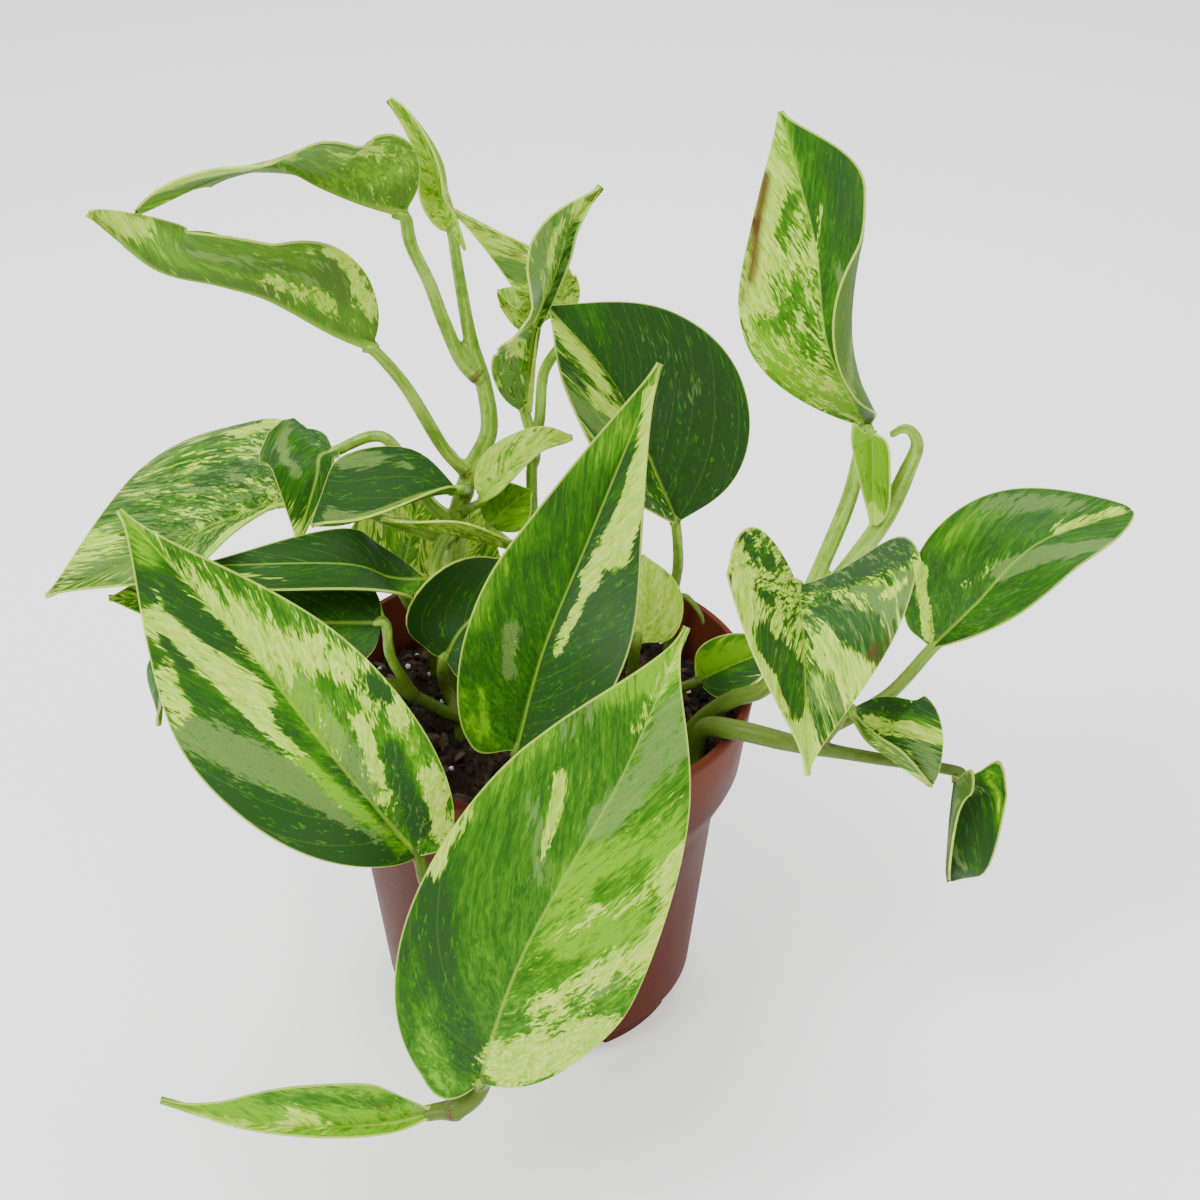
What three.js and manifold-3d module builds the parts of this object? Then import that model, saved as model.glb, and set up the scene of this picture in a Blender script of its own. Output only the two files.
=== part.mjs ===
// A young marble queen pothos in its nursery pot. Millimetres, +Z up.
// The origin is the middle of the pot's underside; -Y is the side that is looked at.
import * as THREE from "three";
import { mergeVertices } from "three/addons/utils/BufferGeometryUtils.js";
import Module from "manifold-3d";

const wasm = await Module();
wasm.setup();

// Driving dimensions of the pot
const RIM_R = 60;
const POT_H = 103;
const COLLAR_R = 57;
const COLLAR_Z = 80;
const NECK_R = 50.4;
const NECK_Z = 66;
const BODY_FOOT_R = 44.2;
const FOOT_Z = 7;
const FOOT_R = 41;
const WALL = 1.4;
const RIM_WALL = 2.4;
const FLOOR = 1.8;
const POT_SIDES = 32;
const DRAIN_COUNT = 8;
const DRAIN_R = 3.2;
const DRAIN_SIDES = 10;
const DRAIN_RING_R = 27;
const NOTCH_W = 9;
const NOTCH_DEPTH = 5;
const FOOT_EDGE = 1;
const FOOT_STEP = 0.6;
const COLLAR_EDGE = 3;
const RIM_EDGE = 1.2;

// Soil, leaves and stalks
const SOIL_Z = 90;
const SOIL_RINGS = 5;
const LUMP_H = 1.1;
const SOIL_DOME = 0.0012;
const CHIP_COUNT = 12;
const CHIP_SIZE = 1.6;
const CHIP_AREA_R = 48;
const HOLE_SIDES = 8;
const BLADE_T = 0.8;
const BASE_HALF = 0.5;
const TIP_DRAW = 0.6;
const LOBE_SPAN = 0.1;
const SINUS_Q = 0.002;
const VEIN_BEND = 1.4;
const WAVE_H = 0.6;
const WAVE_TURNS = 9;
const WAVE_SHIFT = 3;
const WAVE_RISE = 6;
const NEAR = 0.02;
const END_ROW = 0.35;
const FIT_GAP = 0.35;
const ROOT_Z = 72;
const HOLE_GAP = 0.8;
const STALK_SIDES = 6;
const STALK_STEP = 9;

const radians = THREE.MathUtils.degToRad;

// A repeatable random number from 0 to 1
function dice(seed) {
  const x = Math.sin(seed * 12.9898 + 78.233) * 43758.5453;
  return x - Math.floor(x);
}

// Value at t, from 0 to 1, between the evenly spaced values of a list
function blend(values, t) {
  const place = THREE.MathUtils.clamp(t, 0, 1) * (values.length - 1);
  const i = Math.min(Math.floor(place), values.length - 2);
  return values.length === 1 ? values[0] : THREE.MathUtils.lerp(values[i], values[i + 1], place - i);
}

function curveThrough(points) {
  return new THREE.CatmullRomCurve3(points.map((p) => new THREE.Vector3(...p)), false, "catmullrom", 0.5);
}

// Solids and meshes

function geometryOf(positions, triangles) {
  return new THREE.BufferGeometry()
    .setAttribute("position", new THREE.Float32BufferAttribute(positions, 3))
    .setIndex(triangles);
}

function solidOf(geometry) {
  const plain = geometry.clone();
  plain.deleteAttribute("normal");
  plain.deleteAttribute("uv");
  const merged = mergeVertices(plain, 1e-4);
  return new wasm.Manifold(
    new wasm.Mesh({
      numProp: 3,
      vertProperties: merged.attributes.position.array,
      triVerts: new Uint32Array(merged.index.array),
    }),
  );
}

function geometryFrom(solid) {
  const mesh = solid.getMesh();
  return geometryOf(Array.from(mesh.vertProperties), Array.from(mesh.triVerts));
}

const plant = new THREE.Group();

function addMesh(name, solid, colour, roughness) {
  const geometry = geometryFrom(solid);
  geometry.computeVertexNormals();
  const material = new THREE.MeshStandardMaterial({ color: colour, roughness, metalness: 0 });
  const mesh = new THREE.Mesh(geometry, material);
  mesh.name = name;
  plant.add(mesh);
}

// The pot: a turned shell with a collar, a stepped foot, drain holes and notches

function turned(profile, sides) {
  const points = profile.map(([r, z]) => new THREE.Vector2(r, z));
  return solidOf(new THREE.LatheGeometry(points, sides).rotateX(Math.PI / 2));
}

// Radius of the inside of the wall at a height
function innerRadius(z) {
  const between = THREE.MathUtils.mapLinear;
  if (z >= COLLAR_Z) return between(z, COLLAR_Z, POT_H, COLLAR_R - WALL, RIM_R - RIM_WALL);
  if (z >= NECK_Z) return between(z, NECK_Z, COLLAR_Z, NECK_R, COLLAR_R) - WALL;
  return between(z, FOOT_Z, NECK_Z, BODY_FOOT_R, NECK_R) - WALL;
}

function pot() {
  const shell = turned(
    [
      [0, 0],
      [FOOT_R - FOOT_EDGE, 0],
      [FOOT_R, FOOT_EDGE],
      [FOOT_R + FOOT_STEP, FOOT_Z - FOOT_STEP],
      [BODY_FOOT_R, FOOT_Z + FOOT_STEP],
      [NECK_R, NECK_Z],
      [COLLAR_R - RIM_EDGE, COLLAR_Z - COLLAR_EDGE],
      [COLLAR_R, COLLAR_Z],
      [RIM_R, POT_H - RIM_EDGE],
      [RIM_R - RIM_EDGE / 2, POT_H],
      [RIM_R - RIM_WALL, POT_H],
      [innerRadius(COLLAR_Z), COLLAR_Z],
      [innerRadius(NECK_Z), NECK_Z],
      [innerRadius(FOOT_Z), FOOT_Z],
      [FOOT_R - WALL, FLOOR + 1],
      [FOOT_R - WALL - 2, FLOOR],
      [0, FLOOR],
    ],
    POT_SIDES,
  );
  let solid = shell;
  for (let i = 0; i < DRAIN_COUNT; i++) {
    const angle = ((i + 0.5) / DRAIN_COUNT) * 2 * Math.PI;
    const hole = new THREE.CylinderGeometry(DRAIN_R, DRAIN_R, 4 * FLOOR, DRAIN_SIDES)
      .rotateX(Math.PI / 2)
      .translate(DRAIN_RING_R, 0, 0)
      .rotateZ(angle);
    const notch = new THREE.BoxGeometry(NOTCH_DEPTH, NOTCH_W, NOTCH_DEPTH)
      .translate(FOOT_R + FOOT_STEP, 0, 0)
      .rotateZ(angle);
    solid = solid.subtract(solidOf(hole)).subtract(solidOf(notch));
  }
  return solid;
}

// The soil: a plug that fills the pot, with a lumpy top and half-buried chips of bark and perlite

function soilHeight(x, y) {
  const lumps = Math.sin(x * 0.31 + 1.3) * Math.cos(y * 0.27 - 0.6) + 0.7 * Math.sin(x * 0.13 - y * 0.21);
  return SOIL_Z + LUMP_H * lumps - SOIL_DOME * (x * x + y * y);
}

function soilPlug() {
  const positions = [];
  const triangles = [];
  const rimR = innerRadius(COLLAR_Z) - FIT_GAP;
  const ring = (r, zOf) => {
    for (let j = 0; j < POT_SIDES; j++) {
      const a = (j / POT_SIDES) * 2 * Math.PI;
      positions.push(r * Math.cos(a), r * Math.sin(a), zOf(r * Math.cos(a), r * Math.sin(a)));
    }
  };
  positions.push(0, 0, soilHeight(0, 0));
  for (let i = 1; i <= SOIL_RINGS; i++) ring((rimR * i) / SOIL_RINGS, soilHeight);
  for (const z of [COLLAR_Z, NECK_Z, FOOT_Z]) ring(innerRadius(z) - FIT_GAP, () => z);
  ring(FOOT_R - WALL - 2 - FIT_GAP, () => FLOOR + 1.5);
  const rings = SOIL_RINGS + 4;
  const last = 1 + rings * POT_SIDES;
  positions.push(0, 0, FLOOR + 1.5);
  for (let j = 0; j < POT_SIDES; j++) {
    const k = (j + 1) % POT_SIDES;
    triangles.push(0, 1 + j, 1 + k);
    for (let i = 0; i < rings - 1; i++) {
      const a = 1 + i * POT_SIDES;
      const b = a + POT_SIDES;
      triangles.push(a + j, b + j, b + k, a + j, b + k, a + k);
    }
    const a = 1 + (rings - 1) * POT_SIDES;
    triangles.push(a + j, last, a + k);
  }
  return solidOf(geometryOf(positions, triangles));
}

function soil() {
  let solid = soilPlug();
  for (let i = 0; i < CHIP_COUNT; i++) {
    const angle = dice(i) * 2 * Math.PI;
    const r = CHIP_AREA_R * Math.sqrt(dice(i + 100));
    const size = CHIP_SIZE * (1 + dice(i + 200));
    const chip = new THREE.IcosahedronGeometry(size, 0)
      .scale(1.4, 0.9, 0.7)
      .rotateZ(6 * dice(i + 300))
      .translate(r * Math.cos(angle), r * Math.sin(angle), 0);
    chip.translate(0, 0, soilHeight(r * Math.cos(angle), r * Math.sin(angle)) + 0.3);
    solid = solid.add(solidOf(chip));
  }
  for (const vine of VINES) {
    const r = vine.stalks[0].radii[0] + HOLE_GAP;
    const hole = new THREE.CylinderGeometry(r, r, 2 * (SOIL_Z - ROOT_Z), HOLE_SIDES).rotateX(Math.PI / 2);
    solid = solid.subtract(solidOf(hole.translate(...vine.root, SOIL_Z - FIT_GAP)));
  }
  return solid;
}

// A stalk: a tapering round stem swept along a curve, with closed ends

function stalk(points, radii, step = STALK_STEP) {
  const sides = STALK_SIDES;
  const curve = curveThrough(points);
  const steps = Math.max(2, Math.round(curve.getLength() / step));
  const frames = curve.computeFrenetFrames(steps, false);
  const positions = [];
  const triangles = [];
  for (let i = 0; i <= steps; i++) {
    const centre = curve.getPointAt(i / steps);
    const radius = blend(radii, i / steps);
    for (let j = 0; j < sides; j++) {
      const a = (j / sides) * 2 * Math.PI;
      const p = centre.clone()
        .addScaledVector(frames.normals[i], radius * Math.cos(a))
        .addScaledVector(frames.binormals[i], radius * Math.sin(a));
      positions.push(p.x, p.y, p.z);
    }
  }
  for (let i = 0; i < steps; i++)
    for (let j = 0; j < sides; j++) {
      const a = i * sides + j;
      const b = i * sides + ((j + 1) % sides);
      triangles.push(a, b, b + sides, a, b + sides, a + sides);
    }
  for (let j = 1; j < sides - 1; j++) {
    const top = steps * sides;
    triangles.push(0, j + 1, j, top, top + j, top + j + 1);
  }
  return solidOf(geometryOf(positions, triangles));
}

// The end of a stalk, just short of the base of the blade it carries and a little under it
function stalkEnd(leafName) {
  const leaf = LEAVES.find((l) => l.name === leafName);
  const tangent = curveThrough(leaf.mid).getTangent(0);
  const up = new THREE.Vector3(...leaf.face[0]);
  up.addScaledVector(tangent, -up.dot(tangent)).normalize();
  return new THREE.Vector3(...leaf.mid[0])
    .addScaledVector(tangent, -BASE_HALF - 2 * FIT_GAP)
    .addScaledVector(up, -BLADE_T)
    .toArray();
}

function vine({ root, stalks }) {
  const rooted = [[...root, ROOT_Z], [...root, SOIL_Z - 2], [...root, SOIL_Z + 4]];
  const parts = stalks.map(({ points, radii, leaf, step }, i) =>
    stalk([...(i === 0 ? rooted : []), ...points, ...(leaf ? [stalkEnd(leaf)] : [])], radii, step));
  return parts.reduce((whole, part) => whole.add(part));
}

// A leaf blade, with its left and right half as seen from above with the tip away.
// mid is points of the midrib from base to tip, and face the way the upper side faces along it.
// half is the greatest width of each half, and lobe how far its base lobe swells back.
// span is how much of the blade the lobe takes.
// shape is how slowly each half widens from the base, and how soon it narrows to the tip.
// fold is how many degrees a half rises at the midrib, and roll how many more it turns by its
// margin, each a list from base to tip. wave is the height of the ripple along the margin.
// grid is how many rows and columns of facets the blade has.

function bladePoint(leaf, midrib, length, q, v) {
  const side = v < 0 ? 0 : 1;
  const across = Math.abs(v);
  const half = leaf.half[side];
  const [swell, taper] = leaf.shape[side];
  const peak = swell / (swell + taper);
  const profile = (x) => x ** swell * (1 - x) ** taper * (1 - TIP_DRAW * x ** 6);
  const margin = Math.hypot((half * profile(q)) / profile(peak), BASE_HALF);
  const span = leaf.span ?? LOBE_SPAN;
  const sunk = (q + SINUS_Q) / span;
  const back = leaf.lobe[side] * sunk * Math.exp(1 - sunk) * (1 - q ** 4);
  const veinFoot = length * q ** VEIN_BEND;
  const forward = Math.min(VEIN_BEND, 1 / swell);
  const backward = VEIN_BEND / swell;
  const along = veinFoot + (length * q - veinFoot) * across ** forward - back * across ** backward;
  const out = margin * across;

  const t = THREE.MathUtils.clamp(along / length, 0, 1);
  const tangent = midrib.getTangent(t);
  const origin = midrib.getPoint(t).addScaledVector(tangent, along - t * length);
  const up = new THREE.Vector3(...[0, 1, 2].map((k) => blend(leaf.face.map((f) => f[k]), t)));
  up.addScaledVector(tangent, -up.dot(tangent)).normalize();
  const right = tangent.clone().cross(up);

  const start = radians(blend(leaf.fold[side], t));
  const turn = radians(blend(leaf.roll[side], t)) / half;
  const end = start + turn * out;
  const flat = Math.abs(turn) < 1e-5;
  const reach = flat ? out * Math.cos(start) : (Math.sin(end) - Math.sin(start)) / turn;
  const lift = flat ? out * Math.sin(start) : (Math.cos(start) - Math.cos(end)) / turn;
  const ripple = Math.sin(WAVE_TURNS * q + WAVE_SHIFT * side + leaf.mid[0][0]);
  const wave = (leaf.wave ?? WAVE_H) * ripple * across ** 2 * Math.min(1, WAVE_RISE * q);
  return origin
    .addScaledVector(right, (side ? 1 : -1) * reach)
    .addScaledVector(up, lift + wave);
}

function blade(leaf) {
  const midrib = curveThrough(leaf.mid);
  const length = midrib.getLength();
  const [rows, columns] = leaf.grid;
  const at = (i, j) => {
    const q = 0.5 - 0.5 * Math.cos((Math.PI * i) / rows);
    return bladePoint(leaf, midrib, length, THREE.MathUtils.clamp(q, 0, 1), (2 * j) / columns - 1);
  };
  const positions = [];
  const layer = (rows + 1) * (columns + 1);
  for (const face of [0.5, -0.5])
    for (let i = 0; i <= rows; i++)
      for (let j = 0; j <= columns; j++) {
        const row = THREE.MathUtils.clamp(i, END_ROW, rows - END_ROW);
        const column = row === i ? j : columns / 2;
        const along = at(row + NEAR, column).sub(at(row - NEAR, column));
        const over = at(row, Math.min(column + NEAR, columns)).sub(at(row, Math.max(column - NEAR, 0)));
        const normal = over.cross(along).normalize();
        const p = at(i, j).addScaledVector(normal, face * BLADE_T);
        positions.push(p.x, p.y, p.z);
      }
  const triangles = [];
  const index = (i, j, under) => i * (columns + 1) + j + (under ? layer : 0);
  for (let i = 0; i < rows; i++)
    for (let j = 0; j < columns; j++) {
      const [a, b, c, d] = [index(i, j), index(i, j + 1), index(i + 1, j + 1), index(i + 1, j)];
      const cut = j < columns / 2 ? [a, b, c, a, c, d] : [a, b, d, b, c, d];
      triangles.push(...cut);
      for (let k = 0; k < 6; k += 3) triangles.push(cut[k] + layer, cut[k + 2] + layer, cut[k + 1] + layer);
    }
  const rim = [];
  for (let j = 0; j < columns; j++) rim.push([0, j]);
  for (let i = 0; i < rows; i++) rim.push([i, columns]);
  for (let j = columns; j > 0; j--) rim.push([rows, j]);
  for (let i = rows; i > 0; i--) rim.push([i, 0]);
  rim.forEach(([i, j], n) => {
    const [k, l] = rim[(n + 1) % rim.length];
    const [a, b] = [index(i, j), index(k, l)];
    triangles.push(a, a + layer, b + layer, a, b + layer, b);
  });
  return solidOf(geometryOf(positions, triangles));
}

const MARBLED = "#8fae5a";
const DARK = "#2f6b2a";
const PALE = "#b9c98c";
const YOUNG = "#a4c657";
const STALK_GREEN = "#7fa64a";

const LEAVES = [
  { name: "leaf_front_low", colour: MARBLED,
    mid: [[-11, -108, 59], [-0.6, -100.4, 91.6], [23.4, -79.2, 130.2], [38.1, -62.1, 159.8]],
    face: [[0, -8, 6], [0, -8, 4]], half: [30.8, 29.4], lobe: [14.1, 4],
    shape: [[0.96, 1.2], [0.76, 1.4]], fold: [[24], [-2]], roll: [[-7], [-20]], grid: [12, 8] },
  { name: "leaf_front_left", colour: MARBLED,
    mid: [[-26, -80, 106], [-44.3, -72.4, 128.3], [-67.4, -53, 148.7], [-98.1, -32.1, 174]],
    face: [[1, -8, 6], [-1, -8, 5]], half: [29, 22.5], lobe: [4, 9.2],
    shape: [[1.01, 0.98], [0.72, 1.07]], fold: [[28], [19]], roll: [[2], [-4]], grid: [12, 8] },
  { name: "leaf_front_centre", colour: MARBLED,
    mid: [[-3, -48, 114], [3.8, -39.1, 137.4], [15, -25.3, 161.2], [32.7, -10.5, 202.4]],
    face: [[0, -8, 5], [1, -8, 4]], half: [21.4, 22.2], lobe: [8.8, 3.7],
    shape: [[0.53, 0.75], [0.78, 1.17]], fold: [[21], [30]], roll: [[5], [0]], grid: [12, 8] },
  { name: "leaf_back_right", colour: DARK,
    mid: [[39, 32, 133], [30, 34, 156.1], [19.9, 31.5, 178.6], [4, 37.3, 195.8]],
    face: [[3, -8, 3], [3, -8, 3]], half: [35.4, 31.6], lobe: [2.2, 2.2],
    shape: [[1.36, 1.06], [0.49, 0.69]], fold: [[53], [6]], roll: [[0], [7]], grid: [10, 6] },
  { name: "leaf_right_tall", colour: MARBLED,
    mid: [[85, 0, 180], [73.2, -8.8, 206.4], [69.3, -1.9, 230.9], [60.3, 8.1, 259.2]],
    face: [[0, -8, 3], [-1, -8, 3]], half: [25, 31.1], lobe: [0.1, 4.2],
    shape: [[0.77, 0.85], [1.5, 0.99]], fold: [[-36], [58, 23]], roll: [[-4], [110, 122, 93, 64, -12]],
    grid: [12, 8] },
  { name: "leaf_right_young", colour: YOUNG,
    mid: [[85, -11, 183.5], [85.7, -11.5, 178.8], [87, -14.4, 159.2]], face: [[0, -8, 4]],
    half: [7.7, 5.5], lobe: [0.1, 6.1], shape: [[0.99, 0.4], [0.34, 0.71]], fold: [[30], [7]],
    roll: [[65], [19]], grid: [7, 4], wave: 0.2 },
  { name: "leaf_right_heart", colour: MARBLED,
    mid: [[66, -40, 157], [67, -51, 147.9], [68.3, -65.6, 119.1]], face: [[0, -8, 5]],
    half: [31.1, 24.7], lobe: [14.6, 20.1], span: 0.2, shape: [[0.43, 1.05], [1.02, 1.4]],
    fold: [[23], [44]], roll: [[0], [0]], grid: [12, 8] },
  { name: "leaf_right_far", colour: MARBLED,
    mid: [[104, -20, 126], [114.7, -14.8, 135.3], [131.8, -3.7, 147.2], [158.3, 8.2, 150.4]],
    face: [[0, -3, 8]], half: [22.3, 15.9], lobe: [4.6, 2.2], shape: [[0.49, 0.4], [1.08, 0.47]],
    fold: [[-4], [24]], roll: [[0], [0]], grid: [11, 8] },
  { name: "leaf_right_small", colour: DARK,
    mid: [[82, -38, 119], [85.6, -44.2, 114.6], [91, -45.1, 109.9], [102.9, -44.1, 99.7]],
    face: [[4, -4, 6]], half: [18, 7.8], lobe: [1.5, 0], shape: [[0.57, 0.4], [1.5, 0.87]],
    fold: [[48], [72]], roll: [[0], [0]], grid: [9, 6] },
  { name: "leaf_right_cupped", colour: DARK,
    mid: [[111, -36, 96], [110.7, -37.3, 91.5], [110.5, -41.7, 73.4], [111.4, -39.5, 63.9]],
    face: [[0, -8, 2]], half: [13.6, 12.1], lobe: [9, 9], shape: [[0.33, 0.59], [0.33, 1.4]],
    fold: [[11], [73]], roll: [[21, 67], [53, 0]], grid: [9, 8] },
  { name: "leaf_rim_right", colour: MARBLED, mid: [[45, -6, 106], [54, -6, 111], [66, -2, 114]],
    face: [[0, -6, 7]], half: [9, 9], lobe: [0, 0], shape: [[0.5, 0.7], [0.5, 0.7]],
    fold: [[30], [20]], roll: [[0], [0]], grid: [8, 4] },
  { name: "leaf_top_left", colour: MARBLED,
    mid: [[-30, 8, 234], [-38.4, 4.3, 238.9], [-47.9, 1.1, 244], [-58, -3.6, 250.3],
      [-70.4, -11.7, 250.7], [-88.3, -18.8, 245]],
    face: [[0, 0, 8]], half: [25.9, 25.6], lobe: [5.1, 0.3], shape: [[0.64, 0.44], [0.68, 0.74]],
    fold: [[88, 67, 35, 20, 45], [10, 6, -20, -28, -22]], roll: [[0], [0]], grid: [12, 6] },
  { name: "leaf_upper_left", colour: MARBLED,
    mid: [[-38, -2, 203], [-47.8, -6.1, 209.8], [-60.6, -13.5, 221.6], [-70.9, -17.1, 226.9],
      [-85.2, -18.7, 231.6], [-97.1, -26.2, 247.7]],
    face: [[0, 0, 8]], half: [19.1, 14.5], lobe: [1.6, 4], shape: [[0.51, 0.55], [0.6, 0.61]],
    fold: [[110, 93, 62, 69, 119], [11, 28, 10, 42, 4]], roll: [[-10], [-2]], grid: [12, 6] },
  { name: "leaf_top_rolled", colour: YOUNG,
    mid: [[-19.5, 24, 222.5], [-22, 25.4, 231.9], [-24.2, 23.8, 242.8], [-33.4, 24.3, 256.5]],
    face: [[0, -8, 2]], half: [6.1, 9.3], lobe: [1.4, 8.2], shape: [[0.86, 1.38], [0.63, 0.44]],
    fold: [[23], [31]], roll: [[32], [95]], grid: [9, 6], wave: 0.2 },
  { name: "leaf_low_rolled", colour: YOUNG,
    mid: [[-23, -108, 48.5], [-34.2, -109.1, 46.1], [-50.6, -111, 46.8], [-71.4, -106.1, 43.7],
      [-90, -102.7, 47.4]],
    face: [[0, -6, 6]], half: [3.4, 12.5], lobe: [0.1, 0.4], shape: [[0.66, 1.25], [1.07, 1.4]],
    fold: [[33], [27]], roll: [[13], [17]], grid: [11, 6], wave: 0.2 },
  { name: "leaf_behind_twisted", colour: PALE,
    mid: [[8.6, 50.4, 188.6], [6.3, 51.3, 197.4], [2.4, 44.9, 205], [-20.5, 45.5, 218.9]],
    face: [[0, -8, 2]], half: [17.1, 5.5], lobe: [6, 0], shape: [[0.4, 0.9], [0.4, 1.2]],
    fold: [[8], [15]], roll: [[0], [-4]], grid: [10, 4] },
  { name: "leaf_twisted", colour: MARBLED,
    mid: [[-1.5, 14, 177], [1, 11.7, 198.8], [2.8, 11, 205.3], [7.5, 11.5, 219.2],
      [10.6, 10.5, 229.1], [18.2, 10.7, 239.4]],
    face: [[-1, -8, 2], [1, -8, 2]], half: [18.6, 3], lobe: [1.2, 3.2],
    shape: [[0.74, 0.85], [1.49, 0.68]], fold: [[22, 66, 84, 50, 35], [15, 48, 33, 29, 50]],
    roll: [[-2], [0]], grid: [12, 6] },
  { name: "leaf_centre_pale", colour: PALE, mid: [[-13, 4, 156.5], [-5.5, 5, 165], [3, 7, 171],
      [11, 8, 172]],
    face: [[-3, -4, 7]], half: [7, 7], lobe: [0, 0], shape: [[0.5, 0.9], [0.5, 0.9]],
    fold: [[40], [30]], roll: [[0], [0]], grid: [8, 4] },
  { name: "leaf_left_large", colour: MARBLED,
    mid: [[-65, 6, 154.5], [-81.1, -3.1, 153.3], [-95.2, -11.6, 150], [-121.8, -25.2, 144.9]],
    face: [[-2, -6, 7], [-3, -6, 6]], half: [19.2, 37.3], lobe: [1.8, 17.3],
    shape: [[1.5, 0.88], [0.37, 0.9]], fold: [[52], [7]], roll: [[-27], [-56]], grid: [11, 8] },
  { name: "leaf_left_folded", colour: MARBLED,
    mid: [[-51, 7, 169], [-54.1, 3.4, 169.2], [-55.1, 0.3, 164.1], [-60.6, -3.8, 148]],
    face: [[1, -5, 7], [2, -8, 2]], half: [5.1, 15.8], lobe: [0.5, 5.2],
    shape: [[0.4, 0.63], [0.63, 0.83]], fold: [[35], [-18]], roll: [[15], [0]], grid: [8, 6] },
  { name: "leaf_centre_left", colour: DARK,
    mid: [[-19, -2, 163], [-26.5, -5.7, 163.5], [-44.1, -12.5, 159.9], [-54.7, -16.1, 160.2]],
    face: [[0, -3, 8]], half: [6.3, 17.2], lobe: [0.1, 0.2], shape: [[0.63, 0.93], [1.07, 0.72]],
    fold: [[49], [17]], roll: [[0], [0]], grid: [9, 6] },
  { name: "leaf_left_dark", colour: DARK,
    mid: [[-27, -3.5, 136.1], [-36.6, -5.8, 138.5], [-49, -11, 145.4], [-87.1, -19.4, 150]],
    face: [[0, -3, 8]], half: [22.3, 12.1], lobe: [3, 0], shape: [[1.28, 0.4], [1.5, 1.11]],
    fold: [[14], [3]], roll: [[44], [0]], grid: [10, 6] },
  { name: "leaf_left_under", colour: DARK,
    mid: [[-38, -23, 135.5], [-59.6, -21.8, 134.3], [-77.2, -23.7, 132.3]], face: [[0, -6, 7]],
    half: [12.2, 15.1], lobe: [0, 0], shape: [[0.39, 1.01], [0.39, 0.77]], fold: [[-3], [-12]],
    roll: [[0], [0]], grid: [8, 4] },
  { name: "leaf_centre_cupped", colour: DARK,
    mid: [[-22.6, -17.2, 120.7], [-16.5, -18.7, 132.2], [-0.5, -13.7, 145.0]], face: [[0, -7, 6]],
    half: [17.5, 14], lobe: [3, 2], shape: [[0.83, 0.48], [0.5, 0.6]], fold: [[8], [20]],
    roll: [[61], [30]], grid: [8, 6] },
  { name: "leaf_back_pale_left", colour: PALE, mid: [[-38, 28, 116], [-35, 30, 128], [-32, 34, 139]],
    face: [[0, -8, 2]], half: [17, 12], lobe: [3, 3], shape: [[0.4, 0.6], [0.4, 0.6]],
    fold: [[0], [0]], roll: [[0], [0]], grid: [8, 4] },
  { name: "leaf_back_pale_right", colour: PALE, mid: [[-22, 26, 116], [-21, 28, 127], [-16, 32, 139]],
    face: [[0, -8, 2]], half: [11, 12], lobe: [3, 3], shape: [[0.4, 0.6], [0.4, 0.6]],
    fold: [[0], [0]], roll: [[0], [0]], grid: [8, 4] },
  { name: "leaf_centre_edge", colour: PALE, mid: [[-3, -6, 148], [-20, -10, 155], [-37, -14, 161]],
    face: [[0, 5, 8]], half: [8, 8], lobe: [0, 0], shape: [[0.6, 0.9], [0.6, 0.9]],
    fold: [[10], [10]], roll: [[0], [0]], grid: [8, 4] },
  { name: "leaf_pot_pale", colour: PALE, mid: [[28, -3, 117], [31, 0, 127], [29, 6, 138]],
    face: [[0, -8, 4]], half: [9, 9.5], lobe: [0, 0], shape: [[0.4, 0.6], [0.4, 0.6]],
    fold: [[0], [0]], roll: [[0], [0]], grid: [8, 4] },
  { name: "leaf_left_tip", colour: PALE, mid: [[-86, -11, 133], [-96, -12, 136], [-109, -14, 137]],
    face: [[0, -5, 7]], half: [7, 7], lobe: [0, 0], shape: [[0.6, 0.9], [0.6, 0.9]],
    fold: [[0], [0]], roll: [[0], [0]], grid: [7, 4] },
  { name: "leaf_left_hanging", colour: DARK, mid: [[-89, -23, 134], [-94, -30, 125], [-96, -32, 110]],
    face: [[-8, -3, 2]], half: [8, 8], lobe: [0, 0], shape: [[0.6, 0.9], [0.6, 0.9]],
    fold: [[10], [10]], roll: [[0], [0]], grid: [7, 4] },
  { name: "leaf_back_bright", colour: YOUNG, mid: [[-11, 8, 146], [-6, 6, 153], [0, 5, 158]],
    face: [[0, -8, 4]], half: [7, 7], lobe: [0, 0], shape: [[0.5, 0.6], [0.5, 0.6]],
    fold: [[0], [0]], roll: [[0], [0]], grid: [7, 4] },
];

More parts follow.
